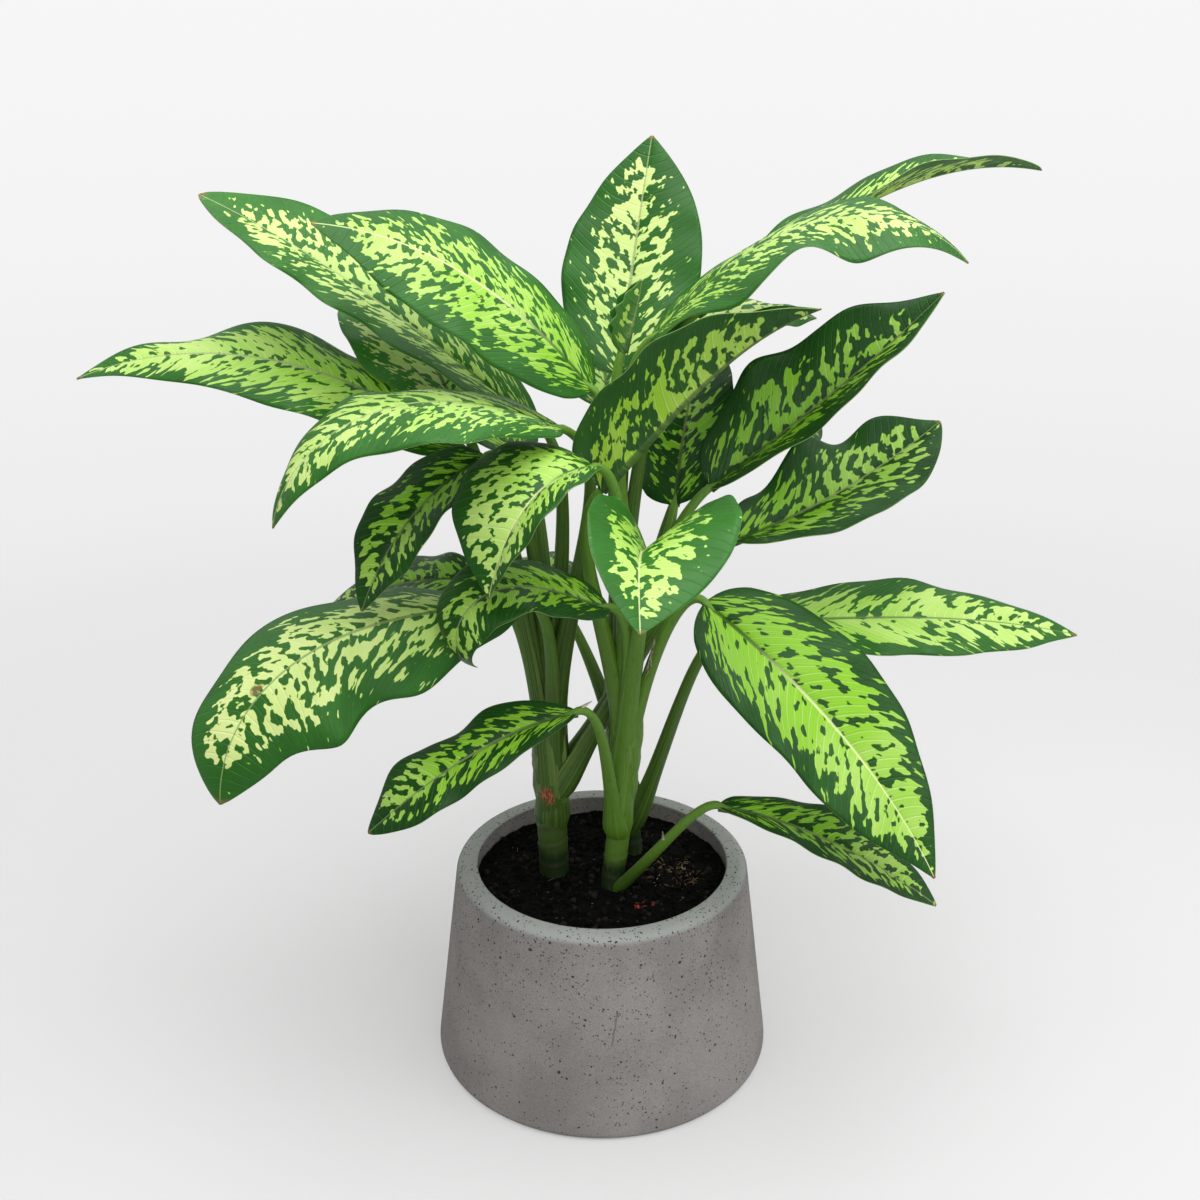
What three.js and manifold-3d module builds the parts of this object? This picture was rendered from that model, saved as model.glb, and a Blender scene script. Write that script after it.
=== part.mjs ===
// A potted dieffenbachia: three canes in a conical concrete pot, with their leaf stalks, 27 open leaf blades
// and one young leaf that is still folded. Millimetres, +Z up, and -Y is the front.
// The origin is the centre of the pot's underside.
import * as THREE from "three";
import { mergeVertices } from "three/addons/utils/BufferGeometryUtils.js";
import Module from "manifold-3d";

const wasm = await Module();
wasm.setup();

// ---------------------------------------------------------------- driving dimensions
const GAP = 0.4; // clearance between separate pieces that touch

const POT = {
  height: 145,
  footRadius: 116,
  baseRadius: 120, // widest, just above the foot
  rimRadius: 102.5,
  mouthRadius: 87.5,
  insideRadius: 104, // of the hollow, at its floor
  floor: 18,
  insideRound: 6,
  footRound: 4,
  rimRound: 5,
  mouthRound: 1.2,
  sides: 60,
};
const SOIL = { top: 133, mound: 1, moundRadius: 50, clearance: 1.2, sides: 36 };

const BLADE = {
  thickness: 1.1,
  rows: 11, // steps along the midrib
  lanes: [-1, -0.56, -0.13, 0, 0.13, 0.56, 1], // steps across, as shares of the half width
  keel: 2.6, // how far the midrib stands out below the blade at its base
  neck: 2.4, // half width of the blade where it meets its stalk
  tip: 0.9, // half width of its blunt tip
  lobe: 7, // how far its two halves reach back past the stalk
  roundness: 1.3, // how full the outline is
  drip: 0.45, // how far the last of it is drawn in
};
const STALK = {
  footRadius: 6.2,
  tipRadius: 2.7,
  flatness: 0.8, // thickness through it, as a share of its width
  lean: 0.12,
  rise: 0.45, // share of the stalk that still runs in the direction of its foot
  lead: 0.15,
  sides: 7,
  steps: 9,
};
const CANE = {
  sides: 12,
  buried: 45,
  step: 12, // between its rings
  closing: 4, // how late it draws in among its stalks: a higher power is later
  point: 1, // radius left at its top
};

// Each cane leans from its foot (x, y at the soil) to its top (x, y, z).
const CANES = {
  left: { foot: [-34, 2], top: [-38, 4, 270], footRadius: 9, topRadius: 10.5 },
  front: { foot: [7, -16], top: [22, -11, 270], footRadius: 6.5, topRadius: 8 },
  back: { foot: [22, 30], top: [5, 28, 270], footRadius: 6.5, topRadius: 8 },
};

// One entry for each leaf.
//   cane, node   the cane that it grows from, and the height at which its stalk parts from it
//   base         where the stalk ends and the blade begins
//   heading      compass angle at the base, middle and tip, in degrees: 0 is +X, 90 is +Y
//   pitch        climb at the base, middle and tip, in degrees above the horizontal
//   roll         turn about the midrib at the base and tip, in degrees: positive lifts the left half
//   fold         how far each half is raised from flat at the midrib, at the base and tip, in degrees
//   droop        how far each half has bent down again by its margin, in degrees
//   belly        where along the blade it is widest, as a share of its length
//   leftWave     the ripple along the margin of the left half: its height, how many there are, where in
//                its turn it starts, and by what share the half grows and shrinks with it
//   rightWave    the same for the right half
//   slim         how much more the blade narrows towards its tip
//   bias         by what share the left half is wider than the mean, and the right half narrower
//   lobe         how far its two halves reach back past the stalk
//   stalk, lean  foot radius of the stalk, and how far it leans outwards as it leaves the cane
//   lead         share of the stalk that already runs in the direction of the blade
// A leaf without lobe, stalk, lean or lead takes them from BLADE and STALK; slim and bias are then 0.
const LEAVES = {
  leaf_01: {
    cane: "left", node: 200, base: [-40, 25, 450], heading: [175, 176, 178], pitch: [38, 36, 24],
    length: 255, width: 90, belly: 0.6, roll: [-20, -18], fold: [24, 14], droop: 18,
    leftWave: [2, 5.5, 0.13, 0.12], rightWave: [5, 1.3, 0.21, 0],
  },
  leaf_02: {
    cane: "front", node: 215, base: [-5, -4, 480], heading: [188, 190, 195], pitch: [52, 34, 5],
    length: 200, width: 95, belly: 0.48, roll: [-38, -36], fold: [0, -6], droop: 12,
    leftWave: [2, 2, 0.3, 0], rightWave: [2, 2, 0, 0],
    slim: 0.1,
  },
  leaf_03: {
    cane: "front", node: 230, base: [10, 20, 485], heading: [78, 74, 70], pitch: [55, 60, 62],
    length: 163, width: 92, belly: 0.45, roll: [0, 0], fold: [15, 8], droop: 20,
    leftWave: [2, 2, 0.3, 0], rightWave: [2, 2, 0, 0],
  },
  leaf_04: {
    cane: "back", node: 225, base: [60, 40, 520], heading: [20, 18, 14], pitch: [32, 23, -12],
    length: 265, width: 54, belly: 0.6, roll: [-4, -4], fold: [26, 24], droop: 8,
    leftWave: [3, 2.5, 0.5, 0], rightWave: [2, 2, 0, 0],
  },
  leaf_05: {
    cane: "front", node: 225, base: [30, 8, 510], heading: [348, 346, 342], pitch: [48, 22, -48],
    length: 220, width: 84, belly: 0.45, roll: [14, 16], fold: [2, -12], droop: 10,
    leftWave: [6, 1.6, 0.17, 0.05], rightWave: [6, 2.4, 0.02, -0.12],
    lead: 0.18,
  },
  leaf_06: {
    cane: "front", node: 215, base: [-1, -32, 424], heading: [350, 346, 338], pitch: [47, 46, 20],
    length: 175, width: 88, belly: 0.36, roll: [-3, -8], fold: [84, 46], droop: 15,
    leftWave: [2, 2, 0.3, 0], rightWave: [2, 2, 0, 0],
    lobe: 10, lead: 0.2,
  },
  leaf_07: {
    cane: "back", node: 215, base: [70, 20, 410], heading: [14, 12, 10], pitch: [34, 38, 44],
    length: 196, width: 90, belly: 0.42, roll: [26, 26], fold: [42, 38], droop: 10,
    leftWave: [4, 2.6, 0.32, 0.04], rightWave: [3, 2, 0, 0],
  },
  leaf_08: {
    cane: "left", node: 190, base: [85, 15, 375], heading: [30, 28, 25], pitch: [8, 20, 32],
    length: 182, width: 92, belly: 0.5, roll: [26, 26], fold: [38, 30], droop: 10,
    leftWave: [8, 2.5, 0.15, 0.08], rightWave: [2, 2.5, 0, 0],
    bias: -0.18, stalk: 7, lean: 0.9,
  },
  leaf_09: {
    cane: "back", node: 220, base: [40, 50, 500], heading: [20, 16, 12], pitch: [22, 8, -20],
    length: 110, width: 54, belly: 0.5, roll: [15, 15], fold: [10, 5], droop: 20,
    leftWave: [3, 2, 0.3, 0], rightWave: [3, 2, 0, 0],
  },
  leaf_10: {
    cane: "left", node: 180, base: [-90, 10, 440], heading: [172, 180, 190], pitch: [37, 12, -22],
    length: 255, width: 78, belly: 0.42, roll: [-28, -30], fold: [2, 2], droop: 20,
    leftWave: [4, 4, 0.65, 0.05], rightWave: [6, 2.65, 0.82, 0.05],
    slim: 0.3,
  },
  leaf_11: {
    cane: "left", node: 205, base: [-24, -20, 460], heading: [200, 202, 204], pitch: [26, -8, -80],
    length: 215, width: 86, belly: 0.42, roll: [-8, -8], fold: [10, 8], droop: 25,
    leftWave: [3, 1.5, 0.62, 0.2], rightWave: [3, 2, 0, 0],
    bias: 0.25, lead: 0.2,
  },
  leaf_12: {
    cane: "left", node: 175, base: [-72, -10, 440], heading: [222, 220, 218], pitch: [-12, -40, -68],
    length: 130, width: 58, belly: 0.48, roll: [-12, -12], fold: [30, 20], droop: 25,
    leftWave: [3, 2, 0.3, 0], rightWave: [3, 2, 0, 0],
    lead: 0.15,
  },
  leaf_13: {
    cane: "front", node: 210, base: [-4, -50, 444], heading: [214, 224, 222], pitch: [8, -40, -78],
    length: 114, width: 88, belly: 0.42, roll: [-2, 4], fold: [24, 30], droop: 22,
    leftWave: [1, 2, 0.3, 0], rightWave: [1, 2, 0, 0],
    slim: 0.2, bias: -0.2, lobe: 1, lead: 0.12,
  },
  leaf_14: {
    cane: "front", node: 195, base: [28, -72, 394], heading: [262, 266, 272], pitch: [30, 5, -45],
    length: 138, width: 100, belly: 0.42, roll: [-10, -12], fold: [66, 12], droop: 10,
    leftWave: [1, 2, 0.3, 0], rightWave: [1, 2, 0, 0],
    bias: 0.2, lobe: 14,
  },
  leaf_15: {
    cane: "front", node: 170, base: [5, -40, 350], heading: [203, 206, 210], pitch: [18, -3, -160],
    length: 148, width: 60, belly: 0.5, roll: [-25, -10], fold: [15, 5], droop: 20,
    leftWave: [2, 2, 0.3, 0], rightWave: [2, 2, 0, 0],
    lead: 0.15,
  },
  leaf_16: {
    cane: "left", node: 165, base: [-50, -30, 350], heading: [204, 206, 232], pitch: [3, -18, -88],
    length: 250, width: 98, belly: 0.52, roll: [-35, -28], fold: [-25, -8], droop: 22,
    leftWave: [3, 2.9, 0.38, 0.12], rightWave: [0, 3.3, 0.34, 0.09],
    slim: -0.3,
  },
  leaf_17: {
    cane: "left", node: 130, base: [-85, 10, 350], heading: [163, 168, 174], pitch: [0, -18, -35],
    length: 120, width: 70, belly: 0.45, roll: [-15, -15], fold: [15, 10], droop: 25,
    leftWave: [3, 2, 0.3, 0], rightWave: [3, 2, 0, 0],
    lean: 0.3, lead: 0.2,
  },
  leaf_18: {
    cane: "front", node: 170, base: [-15, -55, 285], heading: [198, 195, 190], pitch: [-5, -28, -42],
    length: 155, width: 52, belly: 0.6, roll: [-25, -25], fold: [18, 10], droop: 25,
    leftWave: [2, 2.2, 0.48, 0.06], rightWave: [3, 1.85, 0.79, 0.15],
    bias: -0.05, stalk: 4, lean: 0.7, lead: 0.15,
  },
  leaf_19: {
    cane: "front", node: 180, base: [65, -30, 350], heading: [326, 330, 335], pitch: [-28, -42, -62],
    length: 226, width: 96, belly: 0.44, roll: [33, 28], fold: [18, 10], droop: 22,
    leftWave: [1, 2, 0.3, 0], rightWave: [1, 1.6, 0.03, 0.08],
    slim: 0.12, bias: 0.03, lead: 0.15,
  },
  leaf_20: {
    cane: "back", node: 150, base: [95, 10, 320], heading: [12, 8, 4], pitch: [-2, -4, -15],
    length: 240, width: 76, belly: 0.45, roll: [20, 22], fold: [15, 10], droop: 20,
    leftWave: [3, 2, 0.3, 0], rightWave: [2, 4.5, 0.59, 0.1],
    bias: -0.06, lean: 0.9, lead: 0.2,
  },
  leaf_21: {
    cane: "front", node: 125, base: [75, -60, 220], heading: [350, 348, 346], pitch: [-6, -22, -36],
    length: 155, width: 47, belly: 0.56, roll: [12, 12], fold: [22, 15], droop: 20,
    leftWave: [2, 2, 0.3, 0], rightWave: [2, 1.25, 0.5, 0.15],
    bias: 0.08, stalk: 4.5, lean: 1, lead: 0.12,
  },
  leaf_22: {
    cane: "left", node: 190, base: [-95, 25, 465], heading: [118, 120, 122], pitch: [32, 28, 15],
    length: 150, width: 104, belly: 0.45, roll: [0, 0], fold: [15, 10], droop: 20,
    leftWave: [3, 2, 0.3, 0], rightWave: [3, 2, 0, 0],
  },
  leaf_23: {
    cane: "back", node: 210, base: [48, 30, 395], heading: [80, 75, 70], pitch: [50, 48, 40],
    length: 135, width: 74, belly: 0.45, roll: [-15, -15], fold: [20, 10], droop: 20,
    leftWave: [2, 2, 0.3, 0], rightWave: [2, 2, 0, 0],
  },
  leaf_24: {
    cane: "left", node: 185, base: [-55, 60, 420], heading: [130, 132, 136], pitch: [30, 10, -30],
    length: 190, width: 86, belly: 0.45, roll: [5, 5], fold: [15, 8], droop: 20,
    leftWave: [3, 2, 0.3, 0], rightWave: [3, 2, 0, 0],
  },
  leaf_25: {
    cane: "back", node: 205, base: [5, 95, 445], heading: [95, 98, 102], pitch: [40, 5, -50],
    length: 215, width: 92, belly: 0.45, roll: [0, 0], fold: [15, 8], droop: 20,
    leftWave: [3, 2, 0.3, 0], rightWave: [3, 2, 0, 0],
  },
  leaf_26: {
    cane: "back", node: 190, base: [60, 85, 400], heading: [58, 55, 52], pitch: [25, -5, -50],
    length: 200, width: 88, belly: 0.48, roll: [0, 0], fold: [15, 8], droop: 20,
    leftWave: [3, 2, 0.3, 0], rightWave: [3, 2, 0, 0],
  },
  leaf_27: {
    cane: "back", node: 165, base: [-25, 75, 300], heading: [115, 118, 122], pitch: [20, -10, -50],
    length: 185, width: 84, belly: 0.5, roll: [0, 0], fold: [12, 6], droop: 20,
    leftWave: [3, 2, 0.3, 0], rightWave: [3, 2, 0, 0],
  },
  young_leaf: {
    cane: "front", node: 225, base: [12, -2, 503], heading: [20, 20, 20], pitch: [72, 74, 76],
    length: 45, width: 26, belly: 0.45, roll: [0, 0], fold: [75, 60], droop: -20,
    leftWave: [0, 1, 0.3, 0], rightWave: [0, 1, 0, 0],
    lobe: 0,
  },
};

// ---------------------------------------------------------------- small tools
const radians = (degrees) => (degrees * Math.PI) / 180;
const vector = ([x, y, z]) => new THREE.Vector3(x, y, z);

/** The value at t of the smooth curve through three values, at 0, a half and 1. */
function through([first, middle, last], t) {
  return first * (1 - t) * (1 - 2 * t) + middle * 4 * t * (1 - t) + last * t * (2 * t - 1);
}

const between = ([first, last], t) => first + (last - first) * t;

/** A manifold-3d solid from a closed three.js geometry. */
function solidOf(geometry) {
  const bare = geometry.index ? geometry.toNonIndexed() : geometry.clone();
  const points = new THREE.BufferGeometry().setAttribute("position", bare.getAttribute("position"));
  const merged = mergeVertices(points, 1e-4);
  const mesh = new wasm.Mesh({
    numProp: 3,
    vertProperties: merged.attributes.position.array,
    triVerts: new Uint32Array(merged.index.array),
  });
  return new wasm.Manifold(mesh);
}

/** A three.js geometry from a manifold-3d solid. */
function geometryOf(solid) {
  const mesh = solid.getMesh();
  return new THREE.BufferGeometry()
    .setAttribute("position", new THREE.BufferAttribute(new Float32Array(mesh.vertProperties), 3))
    .setIndex(new THREE.BufferAttribute(new Uint32Array(mesh.triVerts), 1));
}

/** A closed geometry from rings of points, each ring with the same number, capped at both ends. */
function closedRings(rings) {
  const count = rings[0].length;
  const points = rings.flat();
  const faces = [];
  for (let ring = 0; ring + 1 < rings.length; ring++) {
    for (let i = 0; i < count; i++) {
      const a = ring * count + i;
      const b = ring * count + ((i + 1) % count);
      faces.push(a, b, b + count, a, b + count, a + count);
    }
  }
  const lastRing = (rings.length - 1) * count;
  for (let i = 1; i + 1 < count; i++) {
    faces.push(0, i + 1, i, lastRing, lastRing + i, lastRing + i + 1);
  }
  const geometry = new THREE.BufferGeometry().setFromPoints(points);
  return geometry.setIndex(faces);
}

/** A tapering stem along a curve. radiusAt(t) gives its two radii, [width, depth]. */
function stem(curve, steps, sides, radiusAt) {
  const frames = curve.computeFrenetFrames(steps, false);
  const rings = [];
  for (let i = 0; i <= steps; i++) {
    const centre = curve.getPointAt(i / steps);
    const [width, depth] = radiusAt(i / steps);
    const ring = [];
    for (let k = 0; k < sides; k++) {
      const angle = (2 * Math.PI * k) / sides;
      ring.push(
        centre
          .clone()
          .addScaledVector(frames.normals[i], width * Math.cos(angle))
          .addScaledVector(frames.binormals[i], depth * Math.sin(angle)),
      );
    }
    rings.push(ring);
  }
  return closedRings(rings);
}

// ---------------------------------------------------------------- the leaf blade
/** The blade's direction, side and face at t along its midrib. */
function bladeFrame(leaf, t) {
  const heading = radians(through(leaf.heading, t));
  const pitch = radians(through(leaf.pitch, t));
  const roll = radians(between(leaf.roll, t));
  const along = new THREE.Vector3(
    Math.cos(pitch) * Math.cos(heading),
    Math.cos(pitch) * Math.sin(heading),
    Math.sin(pitch),
  );
  const level = new THREE.Vector3(-Math.sin(heading), Math.cos(heading), 0);
  const side = level.applyAxisAngle(along, roll);
  return { along, side, face: along.clone().cross(side) };
}

/** Points along the midrib, one for each row, by walking it in short steps. */
function midrib(leaf) {
  const stepsPerRow = 4;
  const step = leaf.length / (BLADE.rows * stepsPerRow);
  const at = vector(leaf.base).addScaledVector(bladeFrame(leaf, 0).along, 2 * GAP);
  const points = [at.clone()];
  for (let i = 0; i < BLADE.rows * stepsPerRow; i++) {
    at.addScaledVector(bladeFrame(leaf, (i + 0.5) / (BLADE.rows * stepsPerRow)).along, step);
    if ((i + 1) % stepsPerRow === 0) points.push(at.clone());
  }
  return points;
}

/** How far through its swing the wave of one half is at t, from -1 to 1. */
function waveTurn([, count, start], t) {
  return Math.sin(2 * Math.PI * (count * t + start));
}

/** The blade's width at t and s, from the midrib out: a rounded base, widest at the belly, a drawn-out tip. */
function reachAcross(leaf, t, s) {
  const rise = Math.pow(t / leaf.belly, BLADE.roundness * leaf.belly);
  const fall = Math.pow((1 - t) / (1 - leaf.belly), BLADE.roundness * (1 - leaf.belly));
  const tapered = (1 - BLADE.drip * Math.pow(t, 8)) * (1 - (leaf.slim ?? 0) * t * t);
  const uneven = 1 + (leaf.bias ?? 0) * Math.sign(s);
  const wave = s > 0 ? leaf.leftWave : leaf.rightWave;
  const swell = 1 + wave[3] * waveTurn(wave, t) * Math.abs(s);
  const outline = rise * fall * tapered * uneven * swell;
  return Math.max((leaf.width / 2) * outline, THREE.MathUtils.lerp(BLADE.neck, BLADE.tip, t));
}

/** The point of the upper face at t along the midrib and s across it, from -1 to 1. */
function bladePoint(leaf, centre, t, s) {
  const { along, side, face } = bladeFrame(leaf, t);
  const width = reachAcross(leaf, t, s);
  const fold = radians(between(leaf.fold, t));
  const bend = radians(leaf.droop);
  const share = Math.abs(s);
  const out = (width * (Math.sin(fold) - Math.sin(fold - bend * share))) / bend;
  const up = (width * (Math.cos(fold - bend * share) - Math.cos(fold))) / bend;
  const wave = s > 0 ? leaf.leftWave : leaf.rightWave;
  const ripple = wave[0] * share * share * waveTurn(wave, t);
  const back = (leaf.lobe ?? BLADE.lobe) * share * share * Math.pow(1 - t, 5) * Math.min(1, 12 * t);
  return centre
    .clone()
    .addScaledVector(side, Math.sign(s) * out)
    .addScaledVector(face, up + ripple * Math.sin(Math.PI * t))
    .addScaledVector(along, -back);
}

/** The blade as a closed thin sheet, both faces split alike, with the midrib standing out below. */
function blade(leaf) {
  const centres = midrib(leaf);
  const { rows, lanes } = BLADE;
  const upper = [];
  for (let row = 0; row <= rows; row++) {
    upper.push(lanes.map((s) => bladePoint(leaf, centres[row], row / rows, s)));
  }
  const lower = upper.map((line, row) =>
    line.map((point, lane) => {
      const across = upper[row][Math.min(lane + 1, lanes.length - 1)]
        .clone()
        .sub(upper[row][Math.max(lane - 1, 0)]);
      const onward = upper[Math.min(row + 1, rows)][lane].clone().sub(upper[Math.max(row - 1, 0)][lane]);
      const normal = onward.cross(across).normalize();
      const keel = lanes[lane] === 0 ? BLADE.keel * Math.pow(1 - row / rows, 0.8) : 0;
      return point.clone().addScaledVector(normal, -(BLADE.thickness + keel));
    }),
  );
  const points = [...upper.flat(), ...lower.flat()];
  const count = lanes.length;
  const below = (rows + 1) * count;
  const faces = [];
  const quad = (a, b, c, d) => faces.push(a, b, c, a, c, d);
  for (let row = 0; row < rows; row++) {
    for (let lane = 0; lane + 1 < count; lane++) {
      const a = row * count + lane;
      const [b, c, d] = [a + count, a + count + 1, a + 1];
      faces.push(a, b, c, a, c, d);
      faces.push(a + below, c + below, b + below, a + below, d + below, c + below);
    }
    const left = row * count;
    const right = left + count - 1;
    quad(left, left + below, left + count + below, left + count);
    quad(right + count, right + count + below, right + below, right);
  }
  for (let lane = 0; lane + 1 < count; lane++) {
    const last = rows * count + lane;
    quad(lane + 1, lane + 1 + below, lane + below, lane);
    quad(last, last + below, last + 1 + below, last + 1);
  }
  return new THREE.BufferGeometry().setFromPoints(points).setIndex(faces);
}

// ---------------------------------------------------------------- canes and stalks
function caneCurve(cane) {
  const [x, y] = cane.foot;
  const soil = new THREE.Vector3(x, y, SOIL.top);
  const deep = new THREE.Vector3(x, y, SOIL.top - CANE.buried);
  return new THREE.CatmullRomCurve3([deep, soil, vector(cane.top)], false, "centripetal");
}

/** The point on the cane's axis at height z. */
function onCane(cane, z) {
  const share = (z - SOIL.top) / (cane.top[2] - SOIL.top);
  const [x, y] = cane.foot;
  return new THREE.Vector3(x + (cane.top[0] - x) * share, y + (cane.top[1] - y) * share, z);
}

function caneSolid(cane, extra = 0) {
  const curve = caneCurve(cane);
  const length = curve.getLength();
  const steps = Math.round(length / CANE.step);
  return solidOf(
    stem(curve, steps, CANE.sides, (t) => {
      const taper = THREE.MathUtils.lerp(cane.footRadius, cane.topRadius, t);
      const radius = taper * Math.sqrt(1 - Math.pow(t, CANE.closing)) + CANE.point + extra;
      return [radius, radius];
    }),
  );
}

/** A leaf's stalk: it leaves the cane upwards and meets the blade along the blade's own direction. */
function stalkCurve(leaf) {
  const cane = CANES[leaf.cane];
  const start = onCane(cane, leaf.node);
  const end = vector(leaf.base);
  const span = end.clone().sub(start);
  const reach = span.length();
  const lead = leaf.lead ?? STALK.lead;
  const lean = leaf.lean ?? STALK.lean;
  const upward = new THREE.Vector3(span.x * lean, span.y * lean, span.z).normalize();
  const arrive = bladeFrame(leaf, 0).along;
  return new THREE.CubicBezierCurve3(
    start,
    start.clone().addScaledVector(upward, reach * STALK.rise),
    end.clone().addScaledVector(arrive, -reach * lead),
    end,
  );
}

function stalkSolid(leaf, extra = 0) {
  const foot = leaf.stalk ?? STALK.footRadius;
  return solidOf(
    stem(stalkCurve(leaf), STALK.steps, STALK.sides, (t) => {
      const radius = THREE.MathUtils.lerp(foot, STALK.tipRadius, t) + extra;
      return [radius, radius * STALK.flatness];
    }),
  );
}

function shootSolid(name, extra = 0) {
  const own = Object.values(LEAVES).filter((leaf) => leaf.cane === name);
  return own.reduce((sum, leaf) => sum.add(stalkSolid(leaf, extra)), caneSolid(CANES[name], extra));
}

/** The room a shoot needs in the soil: a plain hole for its cane, and one for any stalk that starts low. */
function holeSolid(name) {
  const cane = CANES[name];
  const radius = cane.footRadius + CANE.point + SOIL.clearance;
  const bottom = SOIL.top - CANE.buried - GAP;
  const hole = wasm.Manifold.cylinder(2 * CANE.buried, radius, radius, CANE.sides * 2);
  const lowStalks = Object.values(LEAVES).filter((leaf) => leaf.cane === name && leaf.node < SOIL.top);
  return lowStalks.reduce(
    (sum, leaf) => sum.add(stalkSolid(leaf, SOIL.clearance)),
    hole.translate([cane.foot[0], cane.foot[1], bottom]),
  );
}

// ---------------------------------------------------------------- pot and soil
function potGeometry() {
  const { height, footRadius, baseRadius, rimRadius, mouthRadius, insideRadius, floor } = POT;
  const { footRound, rimRound, mouthRound, insideRound, sides } = POT;
  const profile = [
    [0, 0],
    [footRadius, 0],
    [baseRadius - 1, footRound * 0.5],
    [baseRadius, footRound * 1.6],
    [rimRadius, height - rimRound],
    [rimRadius - 1.5, height - 1.6],
    [rimRadius - rimRound, height],
    [mouthRadius + mouthRound, height],
    [mouthRadius, height - mouthRound],
    [insideRadius, floor + insideRound],
    [insideRadius - insideRound, floor],
    [0, floor],
  ].map(([r, z]) => new THREE.Vector2(r, z));
  return new THREE.LatheGeometry(profile, sides).rotateX(Math.PI / 2);
}

/** The soil fills the pot's hollow with a millimetre to spare, and is a little raised in the middle. */
function soilSolid() {
  const { height, mouthRadius, insideRadius, floor, insideRound, mouthRound } = POT;
  const bottom = floor + insideRound;
  const slope = (mouthRadius - insideRadius) / (height - mouthRound - bottom);
  const edge = (z) => insideRadius + slope * (z - bottom) - 1;
  const profile = [
    [0, floor + GAP],
    [insideRadius - insideRound - 1.5, floor + GAP],
    [edge(bottom + 1), bottom + 1],
    [edge(SOIL.top - 2), SOIL.top - 2],
    [edge(SOIL.top) - 2, SOIL.top],
    [SOIL.moundRadius, SOIL.top + SOIL.mound],
    [0, SOIL.top + SOIL.mound],
  ].map(([r, z]) => new THREE.Vector2(r, z));
  const filling = solidOf(new THREE.LatheGeometry(profile, SOIL.sides).rotateX(Math.PI / 2));
  return Object.keys(CANES).reduce((rest, name) => rest.subtract(holeSolid(name)), filling);
}

// ---------------------------------------------------------------- the plant
const MATERIALS = {
  pot: new THREE.MeshStandardMaterial({ color: 0x8f8b87, roughness: 0.85, metalness: 0 }),
  soil: new THREE.MeshStandardMaterial({ color: 0x1c1613, roughness: 1, metalness: 0 }),
  stalk: new THREE.MeshStandardMaterial({ color: 0x4f7a2c, roughness: 0.5, metalness: 0 }),
  blade: new THREE.MeshStandardMaterial({ color: 0x5f9f3c, roughness: 0.4, metalness: 0 }),
};

const plant = new THREE.Group();
function place(name, geometry, material) {
  const mesh = new THREE.Mesh(geometry, material.clone());
  mesh.name = name;
  plant.add(mesh);
}

place("pot", potGeometry(), MATERIALS.pot);
place("soil", geometryOf(soilSolid()), MATERIALS.soil);
for (const name of Object.keys(CANES)) {
  place(`shoot_${name}`, geometryOf(shootSolid(name)), MATERIALS.stalk);
}
for (const [name, leaf] of Object.entries(LEAVES)) place(name, blade(leaf), MATERIALS.blade);

export default plant;
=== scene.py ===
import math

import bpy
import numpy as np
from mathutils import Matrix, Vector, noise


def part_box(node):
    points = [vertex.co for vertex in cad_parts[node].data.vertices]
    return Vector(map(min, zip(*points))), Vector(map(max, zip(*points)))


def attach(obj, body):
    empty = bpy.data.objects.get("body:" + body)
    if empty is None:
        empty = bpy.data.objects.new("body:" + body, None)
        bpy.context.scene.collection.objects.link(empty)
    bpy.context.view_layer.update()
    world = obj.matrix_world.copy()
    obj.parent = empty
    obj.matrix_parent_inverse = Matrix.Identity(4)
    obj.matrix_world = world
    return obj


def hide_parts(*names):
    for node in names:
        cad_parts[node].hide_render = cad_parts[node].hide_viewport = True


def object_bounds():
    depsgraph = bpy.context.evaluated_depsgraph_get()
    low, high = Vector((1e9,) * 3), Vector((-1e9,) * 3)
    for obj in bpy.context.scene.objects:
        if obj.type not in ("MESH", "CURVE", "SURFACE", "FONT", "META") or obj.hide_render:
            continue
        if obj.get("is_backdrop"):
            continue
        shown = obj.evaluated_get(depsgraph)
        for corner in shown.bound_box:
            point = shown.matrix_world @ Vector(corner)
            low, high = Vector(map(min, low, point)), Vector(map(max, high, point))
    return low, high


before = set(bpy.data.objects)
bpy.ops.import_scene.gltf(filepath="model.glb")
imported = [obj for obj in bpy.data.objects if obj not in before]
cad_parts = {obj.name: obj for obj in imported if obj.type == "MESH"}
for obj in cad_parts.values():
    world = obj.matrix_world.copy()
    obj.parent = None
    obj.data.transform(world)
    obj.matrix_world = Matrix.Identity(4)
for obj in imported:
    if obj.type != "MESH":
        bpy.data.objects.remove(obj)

# %% [markdown]
# # A potted dieffenbachia
# The plant stands in a low concrete pot. Three shoots rise from the soil, each a bundle of
# stalks, and every stalk carries one broad leaf with pale patches between its side veins.
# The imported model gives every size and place, so this lesson only makes things look real.

cad_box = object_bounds()
MM = 0.001
print("the model's box in metres:", [round(value, 4) for corner in cad_box for value in corner])

# %% [markdown]
# ## The camera
# A plant portrait is taken from a little above the leaves. Four numbers say where the camera is:
# how far back it stands and how high, in metres, how far it looks down, in radians, and its lens
# in millimetres. A small shift, as a share of the picture's width, keeps the pot in the middle.

# %% Set up the camera
CAMERA_PLACE = (0, -0.862, 0.667)
CAMERA_DOWN = 0.363
CAMERA_LENS = 42
CAMERA_SHIFT = -1 / 600

bpy.ops.object.camera_add(location=CAMERA_PLACE, rotation=(math.pi / 2 - CAMERA_DOWN, 0, 0))
camera = bpy.context.object
camera.data.lens = CAMERA_LENS
camera.data.shift_x = CAMERA_SHIFT
bpy.context.scene.camera = camera
print("camera stands", round(math.dist(CAMERA_PLACE, (0, 0, 0.3)), 3), "m from the plant")

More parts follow.
